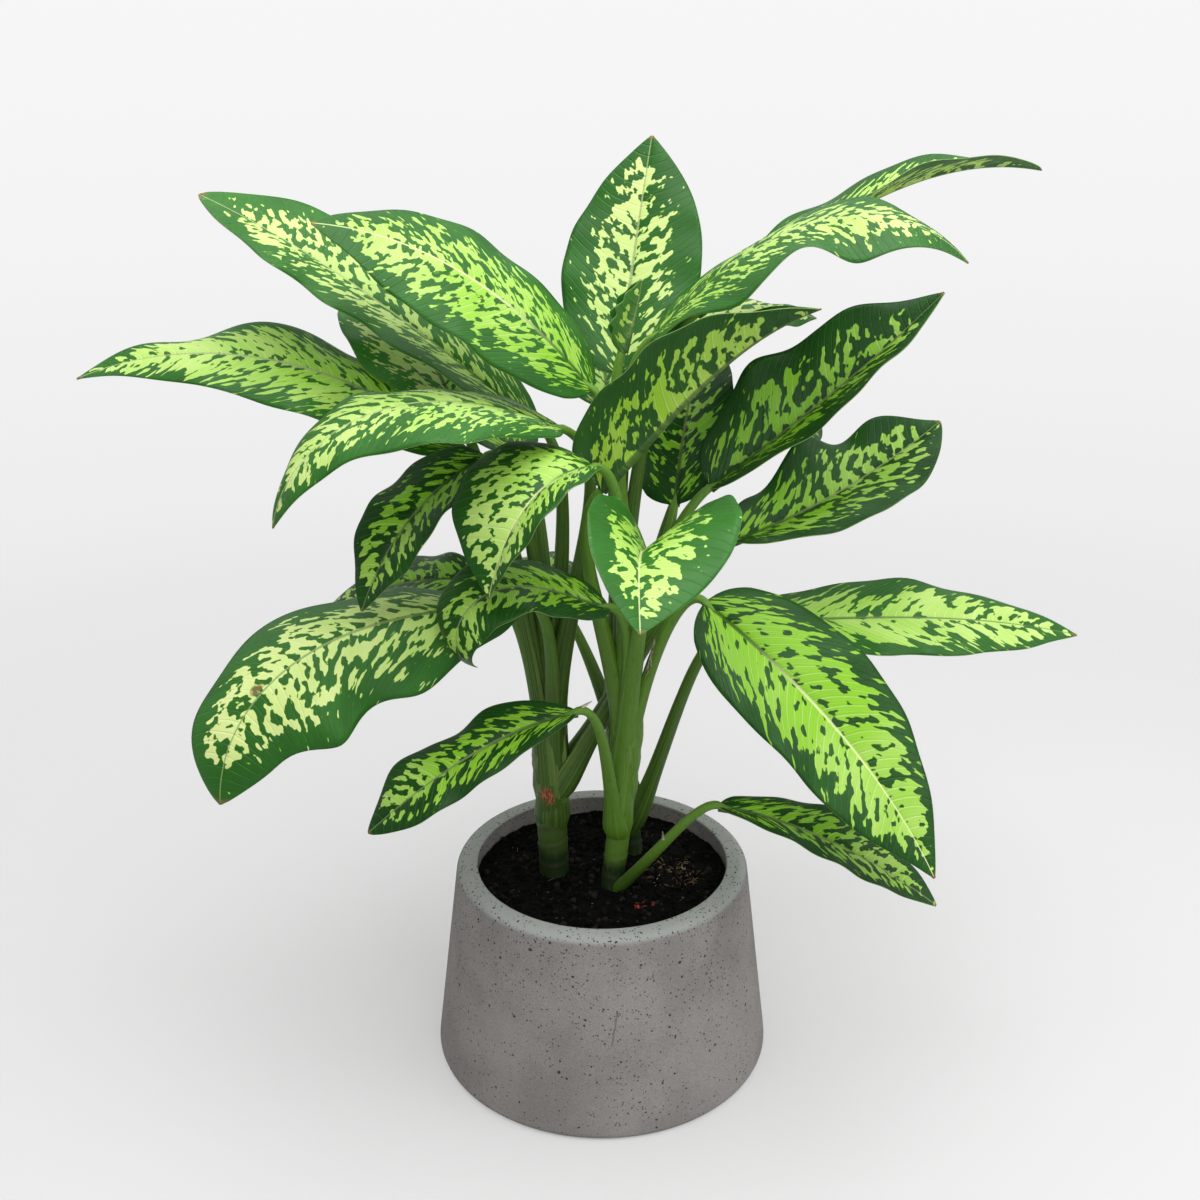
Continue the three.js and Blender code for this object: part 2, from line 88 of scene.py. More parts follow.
# %% [markdown]
# ## Short calls for materials
# A material is a small network of nodes. Wiring them one by one is long-winded, so short helpers
# add a node, do a sum or mix two colours. Each returns the socket to use next.

# %% Helpers for materials
def new_material(name):
    """Starts a material. The helpers then work on its node tree and its shader."""
    global tree, shader
    material = bpy.data.materials.new(name)
    material.use_nodes = True
    tree = material.node_tree
    shader = tree.nodes["Principled BSDF"]
    return material


def put(value, target):
    """Joins a socket to an input, or sets a plain number or colour on it."""
    if isinstance(value, bpy.types.NodeSocket):
        tree.links.new(value, target)
    else:
        target.default_value = value


def add(kind, inputs=None, out=0, **settings):
    """Adds one node, fills or wires its inputs, and returns one of its outputs."""
    node = tree.nodes.new("ShaderNode" + kind)
    for key, value in settings.items():
        setattr(node, key, value)
    for key, value in (inputs or {}).items():
        put(value, node.inputs[key])
    return node.outputs[out]


def calc(operation, *values, clamp=False):
    """One sum on numbers or sockets."""
    return add("Math", dict(enumerate(values)), operation=operation, use_clamp=clamp)


def plus(first, second, clamp=False):
    return calc("ADD", first, second, clamp=clamp)


def minus(first, second):
    return calc("SUBTRACT", first, second)


def times(first, second):
    return calc("MULTIPLY", first, second)


def size_of(value):
    return calc("ABSOLUTE", value)


def larger(first, second):
    return calc("MAXIMUM", first, second)


def mix(share, first, second):
    """Colour first where share is 0, second where it is 1."""
    return add("Mix", {0: share, 6: first, 7: second}, out=2, data_type="RGBA")


def step(value, low, high, start=0.0, end=1.0):
    """A smooth step from start to end as value goes from low to high."""
    inputs = {0: value, 1: low, 2: high, 3: start, 4: end}
    return add("MapRange", inputs, interpolation_type="SMOOTHSTEP")


def object_place():
    """Where a point lies on the piece, in metres."""
    return add("TexCoord", out=3)


def part_of(vector, index):
    """The x, y or z of a vector, for an index of 0, 1 or 2."""
    return add("SeparateXYZ", {0: vector}, out=index)


def stretched(vector, scale):
    """A vector with each of its parts multiplied by its own scale."""
    return add("Mapping", {0: vector, 3: scale})


def grain(vector, scale, detail=2.0, rough=0.5):
    """Cloudy noise, about a half on average."""
    inputs = {"Vector": vector, "Scale": scale, "Detail": detail, "Roughness": rough}
    return add("TexNoise", inputs)


def streaky(vector, scales, detail=2.0, rough=0.5):
    """Cloudy noise with its own scale in each direction."""
    return grain(stretched(vector, scales), 1.0, detail, rough)


def wandering(vector, scale, reach):
    """The vector pushed about by coloured noise, by up to half the reach in each direction."""
    push = add("TexNoise", {"Vector": vector, "Scale": scale, "Detail": 1.0}, out=1)
    centred = add("VectorMath", {0: push, 1: (0.5, 0.5, 0.5)}, operation="SUBTRACT")
    return add("VectorMath", {0: vector, 1: stretched(centred, reach)}, operation="ADD")


def attribute(name, out):
    """A value kept on the piece's points. For out, 0 is a colour, 1 a vector, 2 a number, 3 alpha."""
    return add("Attribute", out=out, attribute_name=name, attribute_type="GEOMETRY")


def bump(height, strength, distance):
    """Joins a height to the shader as fine relief."""
    inputs = {"Height": height, "Strength": strength, "Distance": distance}
    tree.links.new(add("Bump", inputs), shader.inputs["Normal"])


def wire(**inputs):
    """Joins sockets to the shader's inputs, or sets plain numbers there. An _ stands for a space."""
    for name, value in inputs.items():
        put(value, shader.inputs[name.replace("_", " ")])


def linear(red, green, blue):
    """A colour as a painter's 0 to 255 numbers, turned to the linear numbers a shader takes."""
    def one(value):
        share = value / 255
        return share / 12.92 if share <= 0.04045 else ((share + 0.055) / 1.055) ** 2.4
    return (one(red), one(green), one(blue), 1)


def over(tone, share, red, green, blue):
    """The tone with a colour laid over it where share is 1."""
    return mix(share, tone, linear(red, green, blue))


# %% [markdown]
# ## The floor and the room
# The plant stands on a plain pale floor in soft light. The floor fades into the pale room a
# metre or so away, so that no edge shows behind the leaves. The room is a little brighter high
# up than low down. It looks bright to the camera but lights the plant only gently, as the walls
# of a large studio do, so the light from above keeps its shadows among the leaves. A little of the
# room shows through the floor as well, which keeps the shadow on it soft and pale.

# %% Make the floor and the room
FLOOR_SIZE = 5.0
FLOOR_FADE = (0.45, 1.5)
FLOOR_SHEER = 0.38
FLOOR_TONE = linear(209, 209, 209)
ROOM_LOW, ROOM_HIGH = linear(232, 232, 232), linear(246, 246, 246)
ROOM_LIGHT = (0.38, 1.0)
FRONT_SHARE, BACK_SHARE = 0.7, 1.25
LOW_TO_LEVEL, FRONT_TO_BACK = (-0.5, 0.05), (-0.6, 0.7)

bpy.ops.object.select_all(action="DESELECT")
bpy.ops.mesh.primitive_circle_add(vertices=96, radius=FLOOR_SIZE, fill_type="NGON")
floor = bpy.context.object
floor.name = "floor"
paint = new_material("pale floor")
place = object_place()
distance = add("VectorMath", {0: place}, out=1, operation="LENGTH")
fade = step(distance, *FLOOR_FADE, FLOOR_SHEER, 1.0)
wire(Base_Color=FLOOR_TONE, Roughness=0.9, Alpha=minus(1.0, fade))
floor.data.materials.append(paint)
floor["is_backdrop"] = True

world = bpy.data.worlds.new("pale room")
world.use_nodes = True
tree = world.node_tree
toward = add("SeparateXYZ", {0: add("TexCoord", out=0)}).node
look = toward.outputs[2]
seen = mix(step(look, *LOW_TO_LEVEL), ROOM_LOW, ROOM_HIGH)
bright = add("Background", {0: seen, 1: 1.0})
from_back = step(toward.outputs[1], *FRONT_TO_BACK, FRONT_SHARE, BACK_SHARE)
power = times(step(look, 0.0, 1.0, *ROOM_LIGHT), from_back)
gentle = add("Background", {0: ROOM_HIGH, 1: power})
room = add("MixShader", {0: add("LightPath"), 1: gentle, 2: bright})
tree.links.new(room, tree.nodes["World Output"].inputs[0])
bpy.context.scene.world = world
bpy.context.scene.view_settings.view_transform = "Standard"
print("floor fades out between", *FLOOR_FADE, "m")

# %% [markdown]
# ## The lights
# One wide light hangs overhead. A weak one in front opens the shadows under the leaves, and one
# at the right, where a window would be, makes the right side of the pot the brighter one.

# %% Hang the lights
PLANT_MIDDLE = (0, 0, 0.3)
# Each light's name, its place and size in metres, and its power in watts.
LIGHTS = (
    ("overhead light", (0.1, -0.3, 1.75), 1.5, 24),
    ("front light", (0.35, -1.8, 1.0), 1.2, 8),
    ("right light", (2.3, -0.5, 1.35), 1.6, 16),
)
for name, place, size, power in LIGHTS:
    bpy.ops.object.light_add(type="AREA", location=place)
    light = bpy.context.object
    light.name = name
    light.data.size, light.data.energy = size, power
    light.rotation_euler = (Vector(PLANT_MIDDLE) - Vector(place)).to_track_quat("-Z", "Y").to_euler()
print(len(LIGHTS), "lights hung")

# %% [markdown]
# ## Short calls for pieces
# Every piece rides on the one body of the part, hides the plain solid that it stands for, and
# takes its materials. One helper does all three.

# %% Helpers for pieces
def finish_piece(piece, name, slot, node, *materials):
    """Names a piece, paints it, lets it ride on the body and stand for its CAD node."""
    piece.name = name
    for material in materials:
        piece.data.materials.append(material)
    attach(piece, "root")
    if node:
        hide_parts(node)


def deselect():
    bpy.ops.object.select_all(action="DESELECT")


def activate(piece):
    """Selects one piece alone and makes it the active one."""
    deselect()
    piece.select_set(True)
    bpy.context.view_layer.objects.active = piece


def middle_of(mesh, part, kind):
    """The middle of a vertex, an edge or a face."""
    if kind == "VERT":
        return part.co
    if kind == "EDGE":
        return (mesh.vertices[part.vertices[0]].co + mesh.vertices[part.vertices[1]].co) / 2
    return part.center


def pick(piece, kind, test):
    """Selects the vertices, edges or faces whose middle passes the test, and leaves edit mode open."""
    mesh = piece.data
    bpy.ops.object.mode_set(mode="EDIT")
    bpy.ops.mesh.select_mode(type=kind)
    bpy.ops.mesh.select_all(action="DESELECT")
    bpy.ops.object.mode_set(mode="OBJECT")
    for part in {"VERT": mesh.vertices, "EDGE": mesh.edges, "FACE": mesh.polygons}[kind]:
        part.select = bool(test(middle_of(mesh, part, kind), part))
    bpy.ops.object.mode_set(mode="EDIT")


def edit_all(piece):
    """Opens a piece for editing with all of it selected."""
    activate(piece)
    bpy.ops.object.mode_set(mode="EDIT")
    bpy.ops.mesh.select_all(action="SELECT")


def apply_all(piece):
    """Applies every modifier of a piece, in order."""
    activate(piece)
    for modifier in list(piece.modifiers):
        bpy.ops.object.modifier_apply(modifier=modifier.name)


def keep_on_points(mesh, name, kind, values):
    """Keeps a number, vector or colour on every point of a mesh, for the materials to read."""
    field = {"FLOAT": "value", "FLOAT_VECTOR": "vector", "FLOAT_COLOR": "color"}[kind]
    kept = mesh.attributes.new(name, kind, "POINT")
    kept.data.foreach_set(field, np.ascontiguousarray(values, dtype=float).ravel())


def points_of(piece):
    """The places of a piece's points, one row for each."""
    return np.array([tuple(point.co) for point in piece.data.vertices])


def triangles(piece):
    return sum(len(face.vertices) - 2 for face in piece.data.polygons)


# %% [markdown]
# ## The pot
# The pot is cast in one piece, a little wider at its foot than at its rim, with rounded edges.
# It could be spun from a profile, but a cone with its top face inset and pushed down is quicker,
# and bevels then round the rim, the foot and the inside like the real casting.

# %% Shape the pot
POT_HEIGHT, POT_BASE, POT_RIM = 145 * MM, 120 * MM, 102.5 * MM
POT_MOUTH, POT_INSIDE, POT_FLOOR = 87.5 * MM, 104 * MM, 18 * MM
POT_SIDES = 160
RIM_EDGE = POT_RIM - 0.6 * MM
RIM_ROUND, MOUTH_ROUND, FOOT_ROUND, INSIDE_ROUND = 5.5 * MM, 1.6 * MM, 5.0 * MM, 6 * MM

deselect()
bpy.ops.mesh.primitive_cone_add(
    vertices=POT_SIDES, radius1=POT_BASE, radius2=RIM_EDGE, depth=POT_HEIGHT,
    location=(0, 0, POT_HEIGHT / 2),
)
pot = bpy.context.object
bpy.ops.object.transform_apply(location=True, rotation=True, scale=True)
pick(pot, "FACE", lambda middle, face: face.normal.z > 0.9)
bpy.ops.mesh.inset(thickness=RIM_EDGE - POT_MOUTH)
bpy.ops.mesh.extrude_region_move(TRANSFORM_OT_translate={"value": (0, 0, POT_FLOOR - POT_HEIGHT)})
bpy.ops.transform.resize(value=(POT_INSIDE / POT_MOUTH, POT_INSIDE / POT_MOUTH, 1))
bpy.ops.object.mode_set(mode="OBJECT")


def round_edge(piece, height, radius, width, steps):
    """Rounds the ring of edges at one height and radius."""
    def on_ring(middle, edge):
        from_ring = abs(math.hypot(middle.x, middle.y) - radius)
        return abs(middle.z - height) < 0.2 * MM and from_ring < 0.6 * MM

    pick(piece, "EDGE", on_ring)
    bpy.ops.mesh.bevel(offset=width, segments=steps, profile=0.5, affect="EDGES")
    bpy.ops.object.mode_set(mode="OBJECT")


round_edge(pot, POT_HEIGHT, RIM_EDGE, RIM_ROUND, 6)
round_edge(pot, POT_HEIGHT, POT_MOUTH, MOUTH_ROUND, 3)
round_edge(pot, 0, POT_BASE, FOOT_ROUND, 5)
round_edge(pot, POT_FLOOR, POT_INSIDE, INSIDE_ROUND, 3)
bpy.ops.object.shade_smooth_by_angle(angle=math.radians(40))
print("pot:", triangles(pot), "triangles, size", [round(value, 4) for value in pot.dimensions])

# %% [markdown]
# ## Cast concrete
# Cast concrete is a warm grey, a little cloudy, with a sandy grain and small holes where air
# bubbles burst at the mould. Noise gives the clouds and the grain. The holes come from cells of
# three sizes: only some cells hold one, and each has its own width. Each hole is painted nearly
# black, a painted shade for its hollow. They are more frequent towards the rim, where bubbles
# gather when the mould is shaken. The top of the rim, where it faces up, is painted lighter and a
# little bluer, a painted highlight of the light from above. One hairline runs up the front,
# painted darker as a painted shade in the crack.

# %% Paint the concrete
RIM_BAND = (0.134, 0.141)
HAIRLINE_X, HAIRLINE_Z = 8 * MM, 82 * MM
HAIRLINE_SLANT = 0.15
HAIRLINE_HALF = (0.010, 0.014)


def air_holes(place, scale, widest, share):
    """1 in the air holes and 0 outside. Only a share of the cells has a hole."""
    inputs = {"Vector": place, "Scale": scale, "Randomness": 1.0}
    distance = add("TexVoronoi", inputs)
    cell = add("SeparateColor", {0: add("TexVoronoi", inputs, out=1)}).node
    kept = calc("LESS_THAN", cell.outputs[0], share)
    width = step(cell.outputs[1], 0.0, 1.0, widest * 0.4, widest)
    inside = minus(width, distance)
    return times(step(inside, -0.02, 0.04), kept)


concrete = new_material("cast concrete")
place = object_place()
height = part_of(place, 2)
up = part_of(add("NewGeometry", out=1), 2)
top = step(height, *RIM_BAND)
# The up-facing top of the rim, which takes a painted highlight below.
rim = times(step(up, 0.3, 0.8), top)
warped = wandering(place, 260.0, (0.0022, 0.0022, 0.0022))
clouds = grain(place, 16.0, 4.0, 0.6)
smears = streaky(place, (55.0, 55.0, 12.0), 3.0)
sand = grain(place, 1100.0, 3.0, 0.7)
crowd = step(grain(place, 30.0, 2.0), 0.4, 0.7, 0.0, 0.2)
crowd = plus(crowd, step(height, 0.04, 0.14, 0.0, 0.2))
crowd = plus(crowd, times(top, 0.2))
small = air_holes(warped, 520.0, 0.32, plus(crowd, 0.2))
middling = air_holes(warped, 250.0, 0.23, plus(crowd, 0.16))
large = air_holes(warped, 100.0, 0.13, 0.22)
shaded_holes = larger(larger(times(small, 0.95), middling), large)
tone = mix(step(clouds, 0.34, 0.66), linear(136, 132, 129), linear(152, 148, 145))
tone = over(tone, step(smears, 0.5, 0.8, 0.0, 0.2), 160, 156, 151)
tone = over(tone, step(sand, 0.38, 0.68, 0.0, 0.55), 102, 99, 97)
# Painted highlight: the up-facing top of the rim is painted lighter and a little bluer, for the light
# from above.
tone = over(tone, times(rim, 0.6), 168, 175, 172)
# Painted shade: each air hole is painted nearly black for the shade in its hollow.
tone = over(tone, times(shaded_holes, 0.9), 36, 36, 35)
above = minus(height, HAIRLINE_Z)
aside = minus(minus(part_of(warped, 0), HAIRLINE_X), times(above, HAIRLINE_SLANT))
thin = step(size_of(aside), 0.0003, 0.0008, 1.0, 0.0)
front = step(part_of(place, 1), -0.09, -0.08, 1.0, 0.0)
shaded_hairline = times(times(thin, front), step(size_of(above), *HAIRLINE_HALF, 1.0, 0.0))
# Painted shade: the hairline crack is painted darker for the shade inside it.
tone = over(tone, times(shaded_hairline, 0.6), 92, 90, 88)
wire(Base_Color=tone, Roughness=step(clouds, 0.3, 0.7, 0.9, 0.78), Specular_IOR_Level=0.35)
relief = minus(times(sand, 0.22), larger(shaded_holes, shaded_hairline))
bump(relief, 0.6, 0.0008)
finish_piece(pot, "concrete_pot", "pot", "pot", concrete)

# %% [markdown]
# ## The soil
# Potting soil is dark peat in crumbs, with a few fibres and chips. A round blank is pulled up
# and down by noise for the bed, and one crumb, one fibre and one chip are each modelled once
# and copied over it. Each copy is turned and sized by a seeded dice, so it is the same each run.

# %% Shape the bed of soil
SOIL_TOP, SOIL_MOUND, SOIL_RADIUS = 133 * MM, 1 * MM, 88.2 * MM
BED_SPLITS = 110


def bed_height(x, y):
    """The height of the bed of soil at a place."""
    share = min(1.0, math.hypot(x, y) / SOIL_RADIUS)
    spot = Vector((x, y, 0))
    rough = noise.fractal(spot * 90, 1.0, 2.2, 4) * 1.5 * MM + noise.noise(spot * 420) * 0.9 * MM
    return SOIL_TOP - 1.2 * MM + SOIL_MOUND * (1 - share ** 2) + rough


deselect()
bpy.ops.mesh.primitive_grid_add(x_subdivisions=BED_SPLITS, y_subdivisions=BED_SPLITS, size=2)
bed = bpy.context.object
for point in bed.data.vertices:
    x, y = point.co.x, point.co.y
    reach = max(abs(x), abs(y))
    length = math.hypot(x, y) or 1
    x, y = x / length * reach * SOIL_RADIUS, y / length * reach * SOIL_RADIUS
    point.co = (x, y, bed_height(x, y))
pick(bed, "VERT", lambda middle, point: math.hypot(middle.x, middle.y) > SOIL_RADIUS * 0.9999)
bpy.ops.mesh.select_mode(type="EDGE")
bpy.ops.mesh.extrude_region_move(TRANSFORM_OT_translate={"value": (0, 0, -30 * MM)})
bpy.ops.mesh.edge_face_add()
bpy.ops.mesh.select_all(action="SELECT")
bpy.ops.mesh.normals_make_consistent(inside=False)
bpy.ops.object.mode_set(mode="OBJECT")
bpy.ops.object.shade_smooth_by_angle(angle=math.radians(60))
print("bed of soil:", triangles(bed), "triangles")

# %% [markdown]
# ## Peat
# Peat is nearly black, but no two crumbs are quite the same brown. The tone comes from noise
# for the bed, and from a number kept on each crumb for the copies.

# %% Paint the peat
peat = new_material("peat")
place = object_place()
patchy = grain(place, 260.0, 4.0, 0.7)
fine = grain(place, 1500.0, 3.0, 0.7)
tone = mix(step(patchy, 0.35, 0.7), linear(3, 3, 3), linear(15, 13, 12))
tone = over(tone, step(attribute("tint", 2), 0.0, 1.0), 44, 40, 38)
wire(Base_Color=tone, Roughness=0.93, Specular_IOR_Level=0.1)
bump(fine, 0.8, 0.001)

bits = new_material("soil bits")
place = object_place()
worn = step(grain(place, 900.0, 2.0), 0.3, 0.75, 0.0, 0.6)
wire(Base_Color=over(attribute("shade", 0), worn, 30, 24, 20), Roughness=0.8)
bump(grain(place, 2200.0, 2.0), 0.5, 0.0005)

# %% [markdown]
# ## Crumbs, fibres and chips
# Hundreds of copies only need a few faces each. The crumb is an icosphere with its corners
# pushed about, the fibre is a thin strip bent over, and the chip is a flat bevelled block.

# %% Model one of each
def model_crumb():
    """One peat crumb, about two units across."""
    deselect()
    bpy.ops.mesh.primitive_ico_sphere_add(subdivisions=1, radius=1)
    crumb = bpy.context.object
    for point in crumb.data.vertices:
        point.co *= 1 + 0.35 * noise.noise(point.co * 1.7)
    return crumb


def model_fibre():
    """One bent strip, two units long."""
    deselect()
    bpy.ops.mesh.primitive_cylinder_add(vertices=4, radius=0.05, depth=2, end_fill_type="NGON")
    fibre = bpy.context.object
    edit_all(fibre)
    for height in (-0.6, -0.2, 0.2, 0.6):
        bpy.ops.mesh.select_all(action="SELECT")
        bpy.ops.mesh.bisect(plane_co=(0, 0, height), plane_no=(0, 0, 1))
    bpy.ops.object.mode_set(mode="OBJECT")
    for point in fibre.data.vertices:
        along = point.co.z
        point.co = (along, point.co.y, point.co.x * 0.5 + 0.35 * (1 - along * along))
    return fibre


def model_chip():
    """One thin chip of bark."""
    deselect()
    bpy.ops.mesh.primitive_cube_add(size=2)
    chip = bpy.context.object
    edit_all(chip)
    bpy.ops.transform.resize(value=(1, 0.6, 0.22))
    bpy.ops.mesh.bevel(offset=0.12, segments=1, affect="EDGES")
    bpy.ops.object.mode_set(mode="OBJECT")
    for point in chip.data.vertices:
        point.co += noise.noise_vector(point.co * 1.3) * 0.16
    return chip


# %% [markdown]
# ## Scattering them
# Each copy gets its own turn, tilt, size and tone from the dice. All copies of one kind are
# one mesh, so the part stays light to handle. Golden fibres lie in a drift to the right of
# the front shoot, and a few red chips in front of it.

# %% Scatter the crumbs
DICE_SEED = 23
dice = np.random.default_rng(DICE_SEED)
noise.seed_set(DICE_SEED)


def turned(turn, tilt):
    """A turn about the upright axis after a tilt about the sideways one."""
    c, s = math.cos(turn), math.sin(turn)
    spin = np.array([[c, -s, 0], [s, c, 0], [0, 0, 1]])
    c, s = math.cos(tilt), math.sin(tilt)
    return spin @ np.array([[1, 0, 0], [0, c, -s], [0, s, c]])


def scattered(name, model, count, sizes, spread, centre, tints, flat):
    """Copies of one model over the bed, joined in one piece, each with its own turn and size."""
    shape = points_of(model)
    faces = [tuple(face.vertices) for face in model.data.polygons]
    points, polygons, colours = [], [], []
    for number in range(count):
        angle = dice.uniform(0, math.tau)
        radius = spread * math.sqrt(dice.uniform(0, 1))
        x, y = centre[0] + radius * math.cos(angle), centre[1] + radius * math.sin(angle)
        size = sizes[0] + (sizes[1] - sizes[0]) * dice.uniform(0, 1) ** 2.2
        turn = turned(dice.uniform(0, math.tau), dice.normal(0, 0.25 if flat else 1.5))
        own = shape * np.array([1, dice.uniform(0.75, 1.1), dice.uniform(0.7, 1)]) * size
        lift = bed_height(x, y) + size * dice.uniform(-0.1, 0.45) * (0.3 if flat else 1)
        polygons.extend(tuple(number * len(shape) + index for index in face) for face in faces)
        points.append(own @ turn.T + np.array([x, y, lift]))
        colours.append(tints[dice.integers(len(tints))])
    mesh = bpy.data.meshes.new(name)
    mesh.from_pydata(np.concatenate(points).tolist(), [], polygons)
    shades = np.repeat(np.array(colours), len(shape), axis=0)
    keep_on_points(mesh, "tint", "FLOAT", shades[:, 0])
    keep_on_points(mesh, "shade", "FLOAT_COLOR", shades)
    piece = bpy.data.objects.new(name, mesh)
    bpy.context.scene.collection.objects.link(piece)
    bpy.data.objects.remove(model)
    print(name, len(faces) * count, "faces")
    return piece


DARK_CRUMBS = [(share, share, share, 1) for share in (0.0, 0.05, 0.1, 0.2, 0.4, 0.75)]
TAN = [linear(196, 156, 104), linear(214, 188, 150), linear(140, 98, 62), linear(104, 76, 52)]
RED = [linear(150, 40, 34), linear(176, 66, 48), linear(112, 30, 28)]
PALE = [linear(150, 140, 128), linear(110, 98, 86), linear(84, 70, 58)]

# For each kind: its name, its model, how many, their sizes, how far they spread and round where,
# in millimetres, then their tones, whether they lie flat, and the material.
SOIL_BITS = (
    ("soil_crumbs", model_crumb, 1500, (0.7, 3.0), 85, (0, 0), DARK_CRUMBS, False, peat),
    ("soil_fibres", model_fibre, 110, (1.5, 4.0), 22, (48, 0), TAN, True, bits),
    ("soil_stray_fibres", model_fibre, 40, (1.5, 4.0), 82, (0, 0), TAN[2:] + PALE, True, bits),
    ("soil_red_chips", model_chip, 16, (0.9, 2.2), 8, (28, -43), RED, True, bits),
    ("soil_pale_specks", model_chip, 46, (0.4, 1.1), 82, (0, 0), PALE, True, bits),
)
finish_piece(bed, "potting_soil", "soil", "soil", peat)
for name, model, count, sizes, spread, centre, tints, flat, material in SOIL_BITS:
    sizes, centre = [size * MM for size in sizes], [place * MM for place in centre]
    piece = scattered(name, model(), count, sizes, spread * MM, centre, tints, flat)
    finish_piece(piece, name, "soil", None, material)

# %% [markdown]
# ## The leaves in numbers
# Each leaf has a few lines: the shoot it grows from and the height at which its stalk leaves it,
# where the blade starts, and its heading and pitch at the base, the middle and the tip. Then come
# its length and width, where it is widest, its roll, its fold along the midrib and its droop
# towards the margins. Last is the wave of each half: its height, its count, where in its turn it
# starts, and by what share the half grows and shrinks with it. Lengths are in millimetres and
# angles in degrees, the same numbers that the solid model was made from.

# %% The leaves, one by one
LEAVES = {}
PLAIN_LEAF = dict(
    belly=0.45, roll=(0, 0), droop=20, left=(3, 2, 0.3, 0), right=(3, 2, 0, 0),
    slim=0, bias=0, lobe=7, stalk=6.2, lean=0.12, lead=0.15,
)


def grow(name, shoot, node, base, heading, pitch, length, width, **own):
    """Notes the numbers of one leaf. What it does not give itself it takes from the plain leaf."""
    given = dict(shoot=shoot, node=node, base=base, heading=heading, pitch=pitch, length=length)
    LEAVES[name] = {**PLAIN_LEAF, **given, "width": width, **own}


grow("leaf_01", "left", 200, (-40, 25, 450), (175, 176, 178), (38, 36, 24), 255, 90,
    belly=0.6, roll=(-20, -18), fold=(24, 14), droop=18, left=(2, 5.5, 0.13, 0.12),
    right=(5, 1.3, 0.21, 0))
grow("leaf_02", "front", 215, (-5, -4, 480), (188, 190, 195), (52, 34, 5), 200, 95,
    belly=0.48, roll=(-38, -36), fold=(0, -6), droop=12, left=(2, 2, 0.3, 0),
    right=(2, 2, 0, 0), slim=0.1)
grow("leaf_03", "front", 230, (10, 20, 485), (78, 74, 70), (55, 60, 62), 163, 92,
    fold=(15, 8), left=(2, 2, 0.3, 0), right=(2, 2, 0, 0))
grow("leaf_04", "back", 225, (60, 40, 520), (20, 18, 14), (32, 23, -12), 265, 54,
    belly=0.6, roll=(-4, -4), fold=(26, 24), droop=8, left=(3, 2.5, 0.5, 0),
    right=(2, 2, 0, 0))
grow("leaf_05", "front", 225, (30, 8, 510), (348, 346, 342), (48, 22, -48), 220, 84,
    roll=(14, 16), fold=(2, -12), droop=10, left=(6, 1.6, 0.17, 0.05),
    right=(6, 2.4, 0.02, -0.12), lead=0.18)
grow("leaf_06", "front", 215, (-1, -32, 424), (350, 346, 338), (47, 46, 20), 175, 88,
    belly=0.36, roll=(-3, -8), fold=(84, 46), droop=15, left=(2, 2, 0.3, 0),
    right=(2, 2, 0, 0), lobe=10, lead=0.2)
grow("leaf_07", "back", 215, (70, 20, 410), (14, 12, 10), (34, 38, 44), 196, 90,
    belly=0.42, roll=(26, 26), fold=(42, 38), droop=10, left=(4, 2.6, 0.32, 0.04))
grow("leaf_08", "left", 190, (85, 15, 375), (30, 28, 25), (8, 20, 32), 182, 92,
    belly=0.5, roll=(26, 26), fold=(38, 30), droop=10, left=(8, 2.5, 0.15, 0.08),
    right=(2, 2.5, 0, 0), bias=-0.18, stalk=7, lean=0.9)
grow("leaf_09", "back", 220, (40, 50, 500), (20, 16, 12), (22, 8, -20), 110, 54,
    belly=0.5, roll=(15, 15), fold=(10, 5))
grow("leaf_10", "left", 180, (-90, 10, 440), (172, 180, 190), (37, 12, -22), 255, 78,
    belly=0.42, roll=(-28, -30), fold=(2, 2), left=(4, 4, 0.65, 0.05),
    right=(6, 2.65, 0.82, 0.05), slim=0.3)
grow("leaf_11", "left", 205, (-24, -20, 460), (200, 202, 204), (26, -8, -80), 215, 86,
    belly=0.42, roll=(-8, -8), fold=(10, 8), droop=25, left=(3, 1.5, 0.62, 0.2), bias=0.25,
    lead=0.2)
grow("leaf_12", "left", 175, (-72, -10, 440), (222, 220, 218), (-12, -40, -68), 130, 58,
    belly=0.48, roll=(-12, -12), fold=(30, 20), droop=25)
grow("leaf_13", "front", 210, (-4, -50, 444), (214, 224, 222), (8, -40, -78), 114, 88,
    belly=0.42, roll=(-2, 4), fold=(24, 30), droop=22, left=(1, 2, 0.3, 0), right=(1, 2, 0, 0),
    slim=0.2, bias=-0.2, lobe=1, lead=0.12)
grow("leaf_14", "front", 195, (28, -72, 394), (262, 266, 272), (30, 5, -45), 138, 100,
    belly=0.42, roll=(-10, -12), fold=(66, 12), droop=10, left=(1, 2, 0.3, 0),
    right=(1, 2, 0, 0), bias=0.2, lobe=14)
grow("leaf_15", "front", 170, (5, -40, 350), (203, 206, 210), (18, -3, -160), 148, 60,
    belly=0.5, roll=(-25, -10), fold=(15, 5), left=(2, 2, 0.3, 0), right=(2, 2, 0, 0))
grow("leaf_16", "left", 165, (-50, -30, 350), (204, 206, 232), (3, -18, -88), 250, 98,
    belly=0.52, roll=(-35, -28), fold=(-25, -8), droop=22, left=(3, 2.9, 0.38, 0.12),
    right=(0, 3.3, 0.34, 0.09), slim=-0.3)
grow("leaf_17", "left", 130, (-85, 10, 350), (163, 168, 174), (0, -18, -35), 120, 70,
    roll=(-15, -15), fold=(15, 10), droop=25, lean=0.3, lead=0.2)
grow("leaf_18", "front", 170, (-15, -55, 285), (198, 195, 190), (-5, -28, -42), 155, 52,
    belly=0.6, roll=(-25, -25), fold=(18, 10), droop=25, left=(2, 2.2, 0.48, 0.06),
    right=(3, 1.85, 0.79, 0.15), bias=-0.05, stalk=4, lean=0.7)
